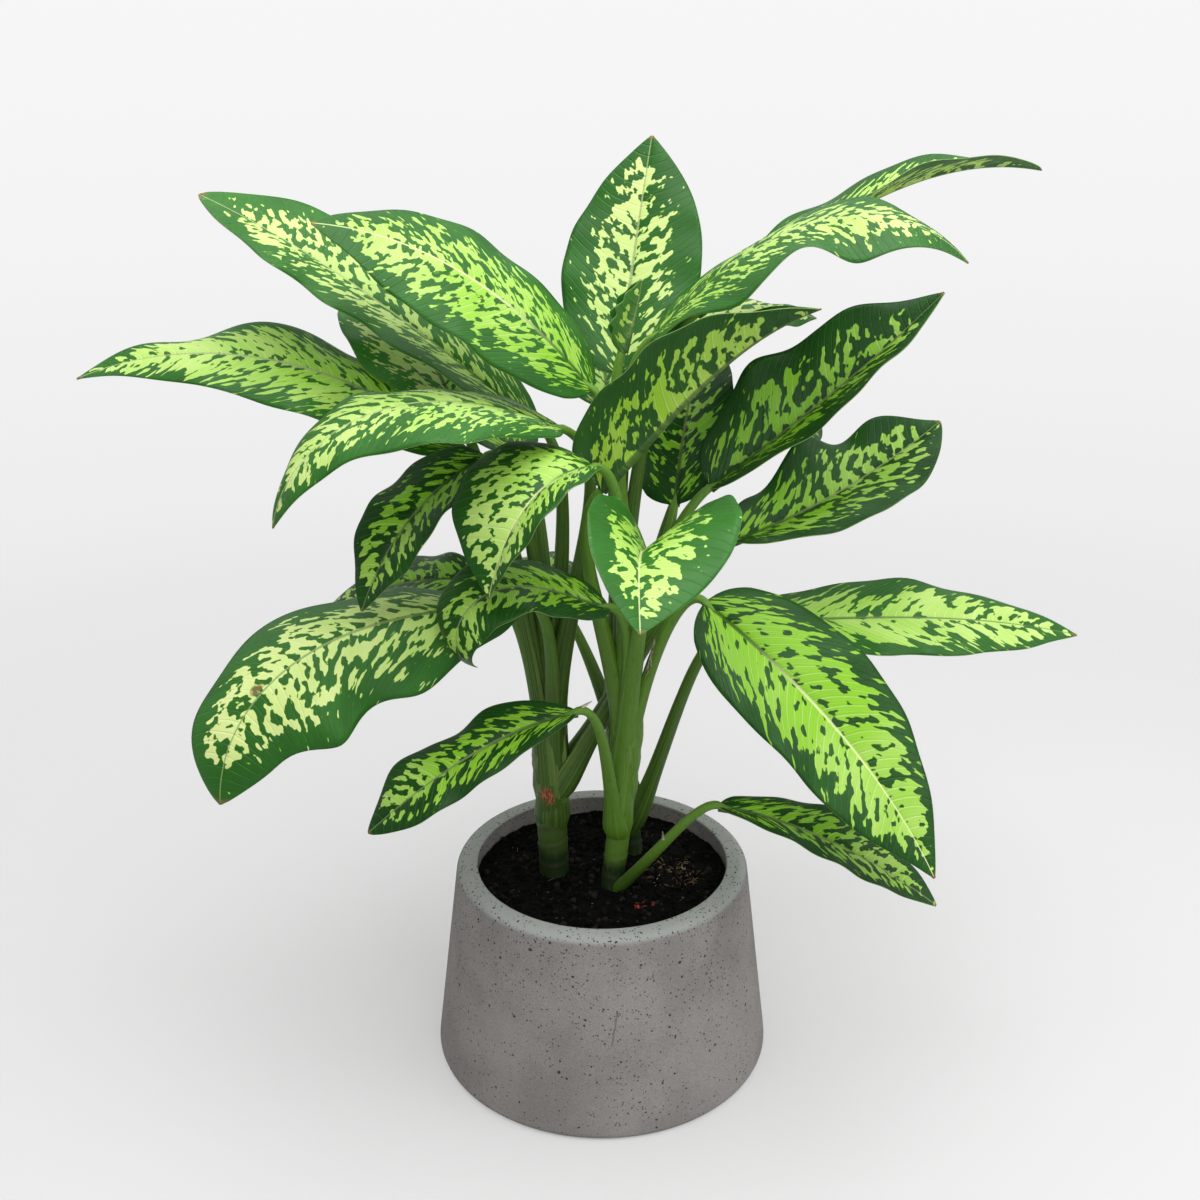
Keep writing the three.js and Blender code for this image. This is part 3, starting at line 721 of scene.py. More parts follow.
grow("leaf_19", "front", 180, (65, -30, 350), (326, 330, 335), (-28, -42, -62), 226, 96,
    belly=0.44, roll=(33, 28), fold=(18, 10), droop=22, left=(1, 2, 0.3, 0),
    right=(1, 1.6, 0.03, 0.08), slim=0.12, bias=0.03)
grow("leaf_20", "back", 150, (95, 10, 320), (12, 8, 4), (-2, -4, -15), 240, 76,
    roll=(20, 22), fold=(15, 10), right=(2, 4.5, 0.59, 0.1), bias=-0.06, lean=0.9, lead=0.2)
grow("leaf_21", "front", 125, (75, -60, 220), (350, 348, 346), (-6, -22, -36), 155, 47,
    belly=0.56, roll=(12, 12), fold=(22, 15), left=(2, 2, 0.3, 0), right=(2, 1.25, 0.5, 0.15),
    bias=0.08, stalk=4.5, lean=1, lead=0.12)
grow("leaf_22", "left", 190, (-95, 25, 465), (118, 120, 122), (32, 28, 15), 150, 104,
    fold=(15, 10))
grow("leaf_23", "back", 210, (48, 30, 395), (80, 75, 70), (50, 48, 40), 135, 74,
    roll=(-15, -15), fold=(20, 10), left=(2, 2, 0.3, 0), right=(2, 2, 0, 0))
grow("leaf_24", "left", 185, (-55, 60, 420), (130, 132, 136), (30, 10, -30), 190, 86,
    roll=(5, 5), fold=(15, 8))
grow("leaf_25", "back", 205, (5, 95, 445), (95, 98, 102), (40, 5, -50), 215, 92,
    fold=(15, 8))
grow("leaf_26", "back", 190, (60, 85, 400), (58, 55, 52), (25, -5, -50), 200, 88,
    belly=0.48, fold=(15, 8))
grow("leaf_27", "back", 165, (-25, 75, 300), (115, 118, 122), (20, -10, -50), 185, 84,
    belly=0.5, fold=(12, 6))
grow("young_leaf", "front", 225, (12, -2, 503), (20, 20, 20), (72, 74, 76), 45, 26,
    fold=(75, 60), droop=-20, left=(0, 1, 0.3, 0), right=(0, 1, 0, 0), lobe=0)
print(len(LEAVES), "leaves")

# %% [markdown]
# ## How each leaf is painted
# No two leaves have the same pattern. For each one: how much of it is pale, how creamy the pale
# parts are, how light the green ground is, how wide the plain margin is, and how pale the midrib.
# The ground's lightness is partly the leaf's own tone and partly painted light: leaves that sit in
# shade among the others have a darker ground, and leaf_22 a lighter one against the shade of the
# leaves above it. A few leaves have coarser patches than the others.

# %% The paint of each leaf
PAINT = {
    "leaf_01": (0.48, 0.42, 0.60, 0.14, 0.5), "leaf_02": (0.62, 0.15, 0.45, 0.18, 0.8),
    "leaf_03": (0.54, 0.62, 0.40, 0.26, 0.4), "leaf_04": (0.50, 0.20, 0.30, 0.15, 0.4),
    "leaf_05": (0.50, 0.30, 0.45, 0.18, 0.5), "leaf_06": (0.52, 0.05, 0.00, 0.14, 0.1),
    "leaf_07": (0.50, 0.00, 0.05, 0.16, 0.2), "leaf_08": (0.54, 0.05, 0.08, 0.14, 0.3),
    "leaf_09": (0.64, 0.60, 0.60, 0.12, 0.5), "leaf_10": (0.72, 0.20, 0.45, 0.12, 0.4),
    "leaf_11": (0.60, 0.30, 0.50, 0.16, 0.5), "leaf_12": (0.54, 0.00, 0.05, 0.15, 0.2),
    "leaf_13": (0.68, 0.26, 0.25, 0.12, 0.8), "leaf_14": (0.58, 0.20, 0.50, 0.26, 0.7),
    "leaf_15": (0.56, 0.10, 0.20, 0.16, 0.3), "leaf_16": (0.60, 0.60, 0.45, 0.22, 0.3),
    "leaf_17": (0.52, 0.05, 0.05, 0.15, 0.2), "leaf_18": (0.52, 0.00, 0.00, 0.13, 0.2),
    "leaf_19": (0.74, 0.00, 0.12, 0.19, 0.9), "leaf_20": (0.76, 0.25, 0.40, 0.17, 0.1),
    # leaf_22's light ground is painted light, against the shade of the leaves above it.
    "leaf_21": (0.54, 0.00, 0.00, 0.12, 0.3), "leaf_22": (0.66, 0.70, 0.95, 0.15, 0.5),
    "leaf_23": (0.50, 0.05, 0.05, 0.15, 0.2), "leaf_24": (0.58, 0.20, 0.30, 0.15, 0.5),
    "leaf_25": (0.62, 0.30, 0.30, 0.15, 0.6), "leaf_26": (0.60, 0.25, 0.25, 0.15, 0.4),
    "leaf_27": (0.60, 0.15, 0.20, 0.15, 0.4), "young_leaf": (0.35, 0.30, 0.60, 0.20, 0.3),
}
COARSE = {"leaf_07", "leaf_08", "leaf_16", "leaf_19", "leaf_20"}
print(len(COARSE), "leaves have coarse patches, the others finer ones")

# %% [markdown]
# ## The shape of a blade
# A blade is walked from its base along the midrib. At each step its direction, its side and
# its face are known, and its half width follows an outline with a rounded base and a drawn-out
# tip. Across the blade it first folds up from the midrib and then droops to the margin.

# %% Blade formulas
def through(three, t):
    """A smooth value that passes the first number at 0, the second at a half, the third at 1."""
    first, middle, last = three
    return first * (1 - t) * (1 - 2 * t) + middle * 4 * t * (1 - t) + last * t * (2 * t - 1)


def between(two, t):
    return two[0] + (two[1] - two[0]) * t


class Leaf:
    """The numbers of one leaf, with its directions and widths."""

    def __init__(self, name):
        for key, value in LEAVES[name].items():
            setattr(self, key, value)
        self.seed = sum(ord(letter) * (index + 3) for index, letter in enumerate(name)) % 97
        self.paint = PAINT[name]

    def directions(self, t):
        """The blade's direction, side and face at t along the midrib, one row for each t."""
        t = np.atleast_1d(t).astype(float)
        heading, pitch = np.radians(through(self.heading, t)), np.radians(through(self.pitch, t))
        roll = np.radians(between(self.roll, t))[:, None]
        flat = np.cos(pitch)
        along = np.stack([flat * np.cos(heading), flat * np.sin(heading), np.sin(pitch)], 1)
        level = np.stack([-np.sin(heading), np.cos(heading), 0 * heading], 1)
        side = level * np.cos(roll) + np.cross(along, level) * np.sin(roll)
        return along, side, np.cross(along, side)

    def midrib(self, rows):
        """Points along the midrib, one for each row."""
        steps = 4 * rows
        along = self.directions((np.arange(steps) + 0.5) / steps)[0] * self.length / steps
        start = np.array(self.base) + self.directions(0)[0][0] * 0.8
        walked = np.vstack([np.zeros(3), np.cumsum(along, axis=0)])
        return start + walked[::4]

    def wave(self, s, part):
        """One number of the wave of the half that s lies on."""
        return np.where(s > 0, self.left[part], self.right[part])

    def turn(self, t, s):
        """How far through its swing the wave is, from -1 to 1."""
        return np.sin(2 * math.pi * (self.wave(s, 1) * t + self.wave(s, 2)))

    def reach_across(self, t, s):
        """The width of the half that s lies on."""
        rise = (t / self.belly) ** (1.3 * self.belly)
        fall = ((1 - t) / (1 - self.belly)) ** (1.3 * (1 - self.belly))
        tapered = (1 - 0.45 * t ** 8) * (1 - self.slim * t * t)
        swell = 1 + self.wave(s, 3) * self.turn(t, s) * np.abs(s)
        outline = rise * fall * tapered * swell * (1 + self.bias * np.sign(s))
        return np.maximum(self.width / 2 * outline, between((2.4, 0.9), t))


# %% [markdown]
# ## Laying out one blade
# Every point of the blade has a place t along the midrib and s across it. The formulas give its
# point in space. On top of them come what a leaf has and a plain sheet has not: a groove over the
# midrib, shallow pleats between the side veins and a finer ripple at the margin. Two more things
# are worked out for the paint: where on the midrib the vein through this point starts, and how
# far out along it the point lies.

# %% Lay out a blade
VEIN_SWEEP = 0.30
VEIN_GAP = 7.0
PLEAT = 0.30
KEEL_HEIGHT, KEEL_WIDTH = 2.9, 2.2
GROOVE_DEPTH, GROOVE_WIDTH = 1.0, 1.5
FINE_RIPPLE, FINE_COUNT = 1.2, 4.7


def laid_out(leaf, t, s):
    """Every point of the upper face, with the vein coordinates that its paint follows."""
    centre = leaf.midrib(len(t) - 1)[:, None, :]
    along, side, face = (part[:, None, :] for part in leaf.directions(t))
    t, s = t[:, None], s[None, :]
    width = leaf.reach_across(t, s)
    fold, bend = np.radians(between(leaf.fold, t)), math.radians(leaf.droop)
    share = np.abs(s)
    out = width * (np.sin(fold) - np.sin(fold - bend * share)) / bend
    up = width * (np.cos(fold - bend * share) - np.cos(fold)) / bend
    ripple = leaf.wave(s, 0) * share ** 2 * leaf.turn(t, s)
    turns = FINE_COUNT * t + leaf.seed / 7 + np.where(s > 0, 0.4, 0)
    fine = FINE_RIPPLE * share ** 3 * np.sin(2 * math.pi * turns)
    back = leaf.lobe * share ** 2 * (1 - t) ** 5 * np.minimum(1, 12 * t)
    reach = VEIN_SWEEP * share ** 1.35
    vein = (t - reach) / (1 - reach)
    from_midrib = s * width
    turns = vein * leaf.length / VEIN_GAP
    pleat = PLEAT * np.cos(2 * math.pi * turns) * np.sin(math.pi * share) * (1 - t)
    groove = GROOVE_DEPTH * (1 - t) ** 0.6 * np.exp(-(from_midrib / GROOVE_WIDTH) ** 2)
    up = up + (ripple + fine) * np.sin(math.pi * t) + pleat - groove
    out = np.sign(s) * out
    points = centre + side * out[..., None] + face * up[..., None] - along * back[..., None]
    keel = np.exp(-(from_midrib / KEEL_WIDTH) ** 2) * (1 - t) ** 0.8
    flow = np.stack([vein * leaf.length * MM, from_midrib * MM, 0 * from_midrib + leaf.seed], -1)
    spot = np.stack([s + 0 * t, t + 0 * s, keel], -1)
    return points * MM, flow, spot


# %% [markdown]
# ## Modelling one blade
# The blank is a flat grid, denser at the midrib, whose points are moved to their places.
# Solidify gives the thickness, thicker at the midrib, and gives the underside and the rim their
# own materials. Paint numbers are kept on the points, so one material serves all the leaves.

# %% Model a blade
ROWS, LANES = 96, 36
BLADE_THICKNESS = 0.5
FINER = 1.35


def model_blade(name):
    """One blade as a closed thin sheet."""
    leaf = Leaf(name)
    deselect()
    bpy.ops.mesh.primitive_grid_add(x_subdivisions=LANES, y_subdivisions=ROWS, size=2)
    blade = bpy.context.object
    mesh = blade.data
    corners = points_of(blade).round(5)
    across, onward = np.unique(corners[:, 0]), np.unique(corners[:, 1])
    column, row = np.searchsorted(across, corners[:, 0]), np.searchsorted(onward, corners[:, 1])
    denser = np.sign(across) * np.abs(across) ** 1.35
    points, flow, spot = (grid[row, column] for grid in laid_out(leaf, (onward + 1) / 2, denser))
    mesh.vertices.foreach_set("co", points.ravel())
    keep_on_points(mesh, "flow", "FLOAT_VECTOR", flow)
    keep_on_points(mesh, "spot", "FLOAT_VECTOR", spot)
    keep_on_points(mesh, "paint", "FLOAT_COLOR", np.tile(leaf.paint[:4], (len(points), 1)))
    keep_on_points(mesh, "pale_rib", "FLOAT", np.full(len(points), leaf.paint[4]))
    keep_on_points(mesh, "fineness", "FLOAT", np.full(len(points), 1.0 if name in COARSE else FINER))
    mesh.update()
    if mesh.polygons[len(mesh.polygons) // 2].normal.dot(Vector(leaf.directions(0.5)[2][0])) < 0:
        edit_all(blade)
        bpy.ops.mesh.flip_normals()
        bpy.ops.object.mode_set(mode="OBJECT")
    thick = blade.vertex_groups.new(name="thick")
    full = BLADE_THICKNESS + KEEL_HEIGHT
    for index, keel in enumerate(spot[:, 2]):
        thick.add([index], float((BLADE_THICKNESS + KEEL_HEIGHT * keel) / full), "REPLACE")
    sheet = blade.modifiers.new("sheet", "SOLIDIFY")
    sheet.thickness = full * MM
    sheet.offset = -1
    sheet.vertex_group = "thick"
    sheet.material_offset = 1
    sheet.material_offset_rim = 2
    return blade


# %% [markdown]
# ## The pattern of a leaf
# The pale patches lie between the side veins, with crisp ragged edges. Three noises are added,
# all stretched along the veins: a broad one, one the size of a patch, and a fine one that cuts
# teeth into the edges. Where the sum is high the leaf is pale. Near the margin, the foot and the
# tip the sum is held down, which leaves the plain green border. A little below the cut lies a
# thin zone of middle green. Veins are thin lines at even steps along the midrib.

# %% The pattern's parts
PALE_LEVEL = 0.840
MIDDLE_ZONE = 0.02
# For the broad noise, the patches and the teeth: the scale across the veins, along them and from
# leaf to leaf, then the detail and the share in the sum.
NOISES = (
    ((40.0, 28.0, 7.3), 0.0, 0.24),
    ((138.0, 122.0, 3.1), 0.5, 1.05),
    ((350.0, 285.0, 5.7), 0.5, 0.36),
)


class Pattern:
    """The patches, veins and midrib of a blade as sockets, for one material."""

    def __init__(self, soften):
        flow = attribute("flow", 1)
        spot = add("SeparateXYZ", {0: attribute("spot", 1)}).node
        paint = add("SeparateColor", {0: attribute("paint", 0)}).node
        share, self.creamy, self.ground_and_light = paint.outputs[:3]
        self.flow = flow
        self.along = spot.outputs[1]
        self.across = size_of(spot.outputs[0])
        self.pale_rib = attribute("pale_rib", 2)
        bent = wandering(flow, 170.0, (0.0028, 0.0022, 0.0))
        bent = add("VectorMath", {0: bent, 3: attribute("fineness", 2)}, operation="SCALE")
        broad, patch, teeth = (
            times(streaky(bent, scales, detail), part) for scales, detail, part in NOISES
        )
        level = plus(plus(broad, patch), teeth)
        beyond = plus(self.across, minus(attribute("paint", 3), 1.0))
        held = plus(step(beyond, -0.36, 0.14, 0.0, 0.32), step(self.along, 0.0, 0.14, 0.14, 0.0))
        held = plus(held, step(self.along, 0.80, 1.0, 0.0, 0.26))
        wanted = times(minus(share, 0.5), 0.5)
        level = minus(plus(level, wanted), held)
        self.pale = step(level, PALE_LEVEL - soften, PALE_LEVEL + soften)
        low = PALE_LEVEL - MIDDLE_ZONE
        self.middle = step(level, low - soften, low + soften)
        self.make_veins(flow)

    def make_veins(self, flow):
        wobble = times(streaky(flow, (90.0, 40.0, 1.0), 1.0), 0.45)
        place = add("SeparateXYZ", {0: flow}).node
        turns = plus(times(place.outputs[0], 1000 / VEIN_GAP), wobble)
        self.vein = self.lines(turns, 0.12)
        self.minor = self.lines(times(turns, 3.0), 0.22)
        outward = size_of(place.outputs[1])
        half_rib = step(self.along, 0.0, 1.0, 0.0019, 0.0005)
        self.rib = step(calc("DIVIDE", outward, half_rib), 0.5, 1.0, 1.0, 0.0)

    def lines(self, turns, width):
        """1 on thin lines, one for each whole turn."""
        away = size_of(minus(calc("FRACT", turns), 0.5))
        return step(away, 0.0, width, 1.0, 0.0)


# %% [markdown]
# ## The leaf's upper face
# The ground runs from a deep to a fresh green and the pale patches from lime to cream, by the
# numbers that each leaf carries; the ground's number is partly painted light for that leaf. The
# pale patches get creamier towards the tip. The face has a waxy sheen, a few pale specks of dried
# water, a brown tip and, on one leaf, a small dry spot. Some light also passes through, so a leaf
# seen against the light glows yellow green.

# %% Paint the upper face
DEEP_GREEN, FRESH_GREEN = linear(14, 60, 4), linear(58, 128, 40)
LIME, CREAM = linear(132, 188, 34), linear(220, 234, 160)
DRY_SPOT = (-207 * MM, -97 * MM, 319 * MM)


def leaf_tones(pattern, deep, fresh, lime, cream):
    """The colours of a blade from its pattern."""
    cells = streaky(pattern.flow, (900.0, 500.0, 1.0), 2.0)
    older = streaky(pattern.flow, (26.0, 20.0, 2.3), 1.0)
    # The ground's number is partly painted light: leaves in shade carry a darker ground, leaf_22 a
    # lighter one.
    ground_and_light = plus(pattern.ground_and_light, step(older, 0.35, 0.7, -0.08, 0.10), clamp=True)
    ground_and_light = mix(ground_and_light, deep, fresh)
    ground_and_light = mix(step(cells, 0.35, 0.7, 0.0, 0.18), ground_and_light, linear(46, 98, 44))
    later = step(pattern.along, 0.15, 0.95, -0.06, 0.26)
    creamy = plus(plus(pattern.creamy, later), step(older, 0.35, 0.7, -0.1, 0.1), clamp=True)
    pale = mix(creamy, lime, cream)
    middle = mix(0.42, ground_and_light, lime)
    tone = mix(pattern.pale, mix(pattern.middle, ground_and_light, middle), pale)
    vein_tone = mix(pattern.pale, linear(58, 112, 46), linear(232, 242, 182))
    tone = mix(times(pattern.vein, 0.22), tone, vein_tone)
    tone = mix(times(pattern.minor, 0.07), tone, vein_tone)
    rib_pale = times(pattern.pale_rib, step(pattern.along, 0.12, 0.45))
    rib_tone = mix(rib_pale, linear(58, 98, 34), linear(226, 236, 170))
    tone = mix(times(pattern.rib, 0.85), tone, rib_tone)
    specks = air_holes(pattern.flow, 55.0, 0.05, 0.16)
    tone = over(tone, times(specks, 0.6), 238, 242, 232)
    dry = step(pattern.along, 0.978, 1.0, 0.0, 0.8)
    place = object_place()
    rough_place = wandering(place, 240.0, (0.006, 0.006, 0.006))
    from_spot = add("VectorMath", {0: rough_place, 1: DRY_SPOT}, out=1, operation="DISTANCE")
    dry = larger(dry, step(from_spot, 0.003, 0.0055, 0.7, 0.0))
    return mix(dry, tone, linear(134, 108, 66)), cells


def glow():
    """Lets some light through the leaf, yellow green."""
    shader.subsurface_method = "RANDOM_WALK"
    wire(Subsurface_Weight=0.35, Subsurface_Radius=(0.7, 1.0, 0.15), Subsurface_Scale=0.002)


upper = new_material("leaf upper face")
pattern = Pattern(0.008)
tone, cells = leaf_tones(pattern, DEEP_GREEN, FRESH_GREEN, LIME, CREAM)
wire(Base_Color=tone, Roughness=step(cells, 0.3, 0.7, 0.34, 0.44), IOR=1.4, Specular_IOR_Level=0.34)
glow()
relief = plus(times(pattern.vein, -0.8), times(cells, 0.25))
bump(relief, 0.5, 0.0005)

# %% [markdown]
# ## The underside and the rim
# The underside has the same pattern, softer, with the veins standing out and hardly any gloss. Its
# tones are lighter than the upper face's: partly because a real underside is paler, partly as
# painted light for the light that shines through the leaf. The rim is only a thin line of light
# green, partly the leaf's own light edge and partly painted light, lifted against the shade on the
# edge.

# %% Paint the underside and the rim
# Painted light: these underside tones are lighter than the upper face's, partly as a real underside is
# paler, partly for light shining through the leaf.
LIT_UNDER_TONES = linear(30, 78, 18), linear(92, 150, 62), linear(160, 202, 52), linear(218, 230, 156)

under = new_material("leaf underside")
pattern = Pattern(0.02)
tone, cells = leaf_tones(pattern, *LIT_UNDER_TONES)
wire(Base_Color=tone, Roughness=step(cells, 0.3, 0.7, 0.5, 0.62))
glow()
bump(plus(pattern.vein, times(cells, 0.3)), 0.5, 0.0005)

rim_paint = new_material("leaf rim")
# Partly painted light: the rim is lightened so that its shaded edge does not read as a dark outline;
# the real margin also has a light edge in places.
tone = mix(grain(object_place(), 90.0, 2.0), linear(74, 118, 54), linear(146, 178, 92))
wire(Base_Color=tone, Roughness=0.5)

# %% [markdown]
# ## All the blades
# Each blade is made from its own numbers and checked against its solid: the greatest difference
# between the two boxes is printed.

# %% Make the blades
blade_triangles, worst = 0, 0.0
for name in LEAVES:
    blade = model_blade(name)
    for material in (upper, under, rim_paint):
        blade.data.materials.append(material)
    apply_all(blade)
    bpy.ops.object.shade_smooth()
    finish_piece(blade, "blade_" + name, "leaf", name)
    (low, high), places = np.array(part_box(name)), points_of(blade)
    worst = max(worst, np.abs(places.min(0) - low).max(), np.abs(places.max(0) - high).max())
    blade_triangles += triangles(blade)
print(len(LEAVES), "blades,", blade_triangles, "triangles, boxes within", round(worst * 1000, 1), "mm")

# %% [markdown]
# ## Stalks and canes
# A stalk is a tube with a channel along its upper side. Near the shoot it widens into a sheath
# that wraps the cane. The tube could be a bevelled curve, but only a mesh can have the channel
# and the sheath's two lips, so a grid is rolled round the stalk's path and closed at its ends.

# %% Paths of the canes and stalks
# Places and radii are in millimetres. The last number is how light a green the shoot has low down.
CANES = {
    "left": dict(foot=(-34, 2), top=(-38, 4, 270), foot_radius=9, top_radius=10.5, fresh=0.15),
    "front": dict(foot=(7, -16), top=(22, -11, 270), foot_radius=6.5, top_radius=8, fresh=0.7),
    "back": dict(foot=(22, 30), top=(5, 28, 270), foot_radius=6.5, top_radius=8, fresh=0.2),
}
SOIL_LEVEL = 133


def on_cane(shoot, z):
    (x, y), top = CANES[shoot]["foot"], CANES[shoot]["top"]
    share = (z - SOIL_LEVEL) / (top[2] - SOIL_LEVEL)
    return np.array([x + (top[0] - x) * share, y + (top[1] - y) * share, z])


def stalk_path(leaf, count):
    """Points along a stalk, from the cane's axis to just under the blade's base."""
    start, end = on_cane(leaf.shoot, leaf.node), np.array(leaf.base, float)
    span = end - start
    reach = np.linalg.norm(span)
    upward = span * np.array([leaf.lean, leaf.lean, 1])
    upward /= np.linalg.norm(upward)
    arrive = leaf.directions(0)[0][0]
    first, second = start + upward * reach * 0.45, end - arrive * reach * leaf.lead
    t = np.linspace(0, 1, count)[:, None]
    u = 1 - t
    return u ** 3 * start + 3 * u ** 2 * t * first + 3 * u * t ** 2 * second + t ** 3 * end


def tube(path, faces_to, radius, sides, fresh):
    """A closed tube round a path. radius(t, angle) gives its size, angle 0 looks along faces_to."""
    count = len(path)
    deselect()
    bpy.ops.mesh.primitive_grid_add(x_subdivisions=sides, y_subdivisions=count - 1, size=2)
    piece = bpy.context.object
    mesh = piece.data
    corners = points_of(piece)
    angle = (corners[:, 0] + 1) * math.pi
    t = (corners[:, 1] + 1) / 2
    row = np.rint(t * (count - 1)).astype(int)
    tangent = np.gradient(path, axis=0)
    tangent /= np.linalg.norm(tangent, axis=1)[:, None]
    front = faces_to - (faces_to * tangent).sum(1)[:, None] * tangent
    front /= np.linalg.norm(front, axis=1)[:, None]
    side = np.cross(tangent, front)
    ring = front[row] * np.cos(angle)[:, None] + side[row] * np.sin(angle)[:, None]
    mesh.vertices.foreach_set("co", ((path[row] + ring * radius(t, angle)[:, None]) * MM).ravel())
    keep_on_points(mesh, "around", "FLOAT_VECTOR", np.stack([np.cos(angle), np.sin(angle), t], -1))
    keep_on_points(mesh, "fresh", "FLOAT", np.full(len(angle), fresh))
    mesh.update()
    edit_all(piece)
    bpy.ops.mesh.remove_doubles(threshold=0.00001)
    bpy.ops.mesh.select_all(action="DESELECT")
    bpy.ops.mesh.select_mode(type="EDGE")
    bpy.ops.mesh.select_non_manifold()
    bpy.ops.mesh.edge_face_add()
    bpy.ops.mesh.select_all(action="SELECT")
    bpy.ops.mesh.normals_make_consistent(inside=False)
    bpy.ops.object.mode_set(mode="OBJECT")
    bpy.ops.object.shade_smooth_by_angle(angle=math.radians(50))
    return piece


# %% [markdown]
# ## One stalk
# The sheath is widest where it leaves the cane and narrows over the lower third. Its lips stand
# on both sides of the channel, and soft ridges run up its back. The stalk is round and slim from
# there to the blade, and its end runs on a little way under the midrib.

# %% Model a stalk
STALK_ROWS = 40
STALK_SIDES = 30
STALK_TIP = 2.7
SHEATH_OVER = 1.4
FIRST_SHEATH = 140


def model_stalk(leaf):
    path = stalk_path(leaf, STALK_ROWS)
    along, side, face = (part[0] for part in leaf.directions(0))
    tail = path[-1] + along * np.array([[3.0], [7.0], [11.0]]) - face * np.array([[0.8], [1.8], [2.6]])
    path = np.vstack([path, tail])
    inward = on_cane(leaf.shoot, leaf.node) - np.array(leaf.base)
    inward[2] = 0
    inward /= np.linalg.norm(inward) + 1e-6
    inward[2] = 0.8
    share = np.linspace(0, 1, len(path))[:, None] ** 2
    faces_to = inward * (1 - share) + face * share
    wrap = CANES[leaf.shoot]["top_radius"] + SHEATH_OVER - leaf.stalk
    wrap = wrap if leaf.node > FIRST_SHEATH else 0
    tail_start = STALK_ROWS / len(path)

    def radius(t, angle):
        plain = leaf.stalk + (STALK_TIP - leaf.stalk) * np.clip(t / tail_start, 0, 1)
        plain = plain * (1 - 0.55 * np.clip((t - tail_start) / (1 - tail_start), 0, 1))
        sheath = wrap * np.exp(-(t / 0.13) ** 2)
        start = 1 - 0.35 * np.exp(-(t / 0.035) ** 2)
        broad = 1 + 0.42 * np.clip(1 - t / 0.7, 0, 1) * np.sin(angle) ** 2
        turn = np.minimum(angle, math.tau - angle)
        strength = 0.5 * np.clip(1 - t / 0.55, 0, 1) * np.clip(t / 0.08, 0, 1) + 0.12
        channel = -strength * np.exp(-(turn / 0.42) ** 2)
        lips = 0.35 * strength * np.exp(-((turn - 0.85) / 0.25) ** 2)
        ridges = 0.02 * np.cos(7 * angle) * np.clip(1.1 - t, 0, 1)
        return (plain * broad + sheath) * start * (1 + channel + lips + ridges)

    return tube(path, faces_to, radius, STALK_SIDES, CANES[leaf.shoot]["fresh"])


# %% [markdown]
# ## The finish of stalks and canes
# Stalks are a smooth olive green with long faint streaks, lighter towards the blade and along
# the lips of the sheath. The canes are darker and rougher, with a ring at each old leaf. A
# tan patch marks where a leaf was torn from the left cane.

# %% Paint the stalks and canes
TORN_PATCH = (-39 * MM, -12 * MM, 198 * MM)


def torn_patch(place):
    """1 on the torn patch, and its own tan tones."""
    rough_place = wandering(place, 300.0, (0.005, 0.03, 0.005))
    from_patch = add("VectorMath", {0: rough_place, 1: TORN_PATCH}, out=1, operation="DISTANCE")
    fibrous = streaky(place, (900.0, 900.0, 350.0), 2.0)
    tones = mix(step(fibrous, 0.4, 0.6), linear(96, 58, 30), linear(176, 104, 62))
    return step(from_patch, 0.0060, 0.0085, 1.0, 0.0), tones


stalk_paint = new_material("stalk skin")
around = attribute("around", 1)
parts = add("SeparateXYZ", {0: around}).node
place = object_place()
streaks = streaky(around, (7.0, 7.0, 1.4), 3.0, 0.6)
mottle = streaky(place, (520.0, 520.0, 160.0), 3.0, 0.6)
foot = mix(attribute("fresh", 2), linear(46, 72, 20), linear(94, 140, 36))
tone = mix(step(parts.outputs[2], 0.25, 1.0), foot, linear(96, 142, 46))
tone = over(tone, step(streaks, 0.42, 0.68, 0.0, 0.4), 122, 158, 62)
lip = times(step(parts.outputs[0], 0.45, 0.7), step(parts.outputs[0], 0.7, 0.9, 1.0, 0.0))
lip = times(lip, step(parts.outputs[2], 0.1, 0.6, 0.5, 0.0))
tone = over(tone, lip, 132, 152, 84)
tone = over(tone, step(mottle, 0.54, 0.72, 0.0, 0.3), 40, 64, 24)
low_down = part_of(place, 2)
tone = over(tone, step(low_down, 0.14, 0.18, 0.55, 0.0), 30, 56, 14)
torn, torn_tone = torn_patch(place)
tone = mix(torn, tone, torn_tone)
wire(Base_Color=tone, Roughness=step(mottle, 0.3, 0.7, 0.42, 0.55), Specular_IOR_Level=0.35)
bump(plus(streaks, times(mottle, 0.4)), 0.4, 0.0006)

cane_paint = new_material("cane skin")
place = object_place()
height = part_of(place, 2)
mottle = streaky(place, (300.0, 300.0, 120.0), 4.0, 0.65)
foot = mix(attribute("fresh", 2), linear(58, 80, 28), linear(94, 138, 40))
tone = mix(step(height, 0.148, 0.158), linear(26, 48, 16), foot)
tone = over(tone, step(mottle, 0.5, 0.72, 0.0, 0.35), 96, 92, 50)
ring = attribute("ring", 2)
tone = over(tone, times(ring, 0.6), 52, 44, 24)
torn, torn_tone = torn_patch(place)
tone = mix(torn, tone, torn_tone)
wire(Base_Color=tone, Roughness=0.5)
bump(minus(mottle, torn), 0.5, 0.0008)

# %% [markdown]
# ## The shoots
# Each cane is a tube too, with a low ridge and a groove at every old leaf scar, tilted a little
# as real scars are. A cane and its stalks become one piece, because they grew as one.

# %% Model the shoots
LEAF_SCARS = {"left": (143, 157, 171, 186), "front": (142, 156), "back": (140, 154)}
CANE_BOTTOM, TAPER_START = 100, 88
CANE_ROWS, CANE_SIDES = 90, 32


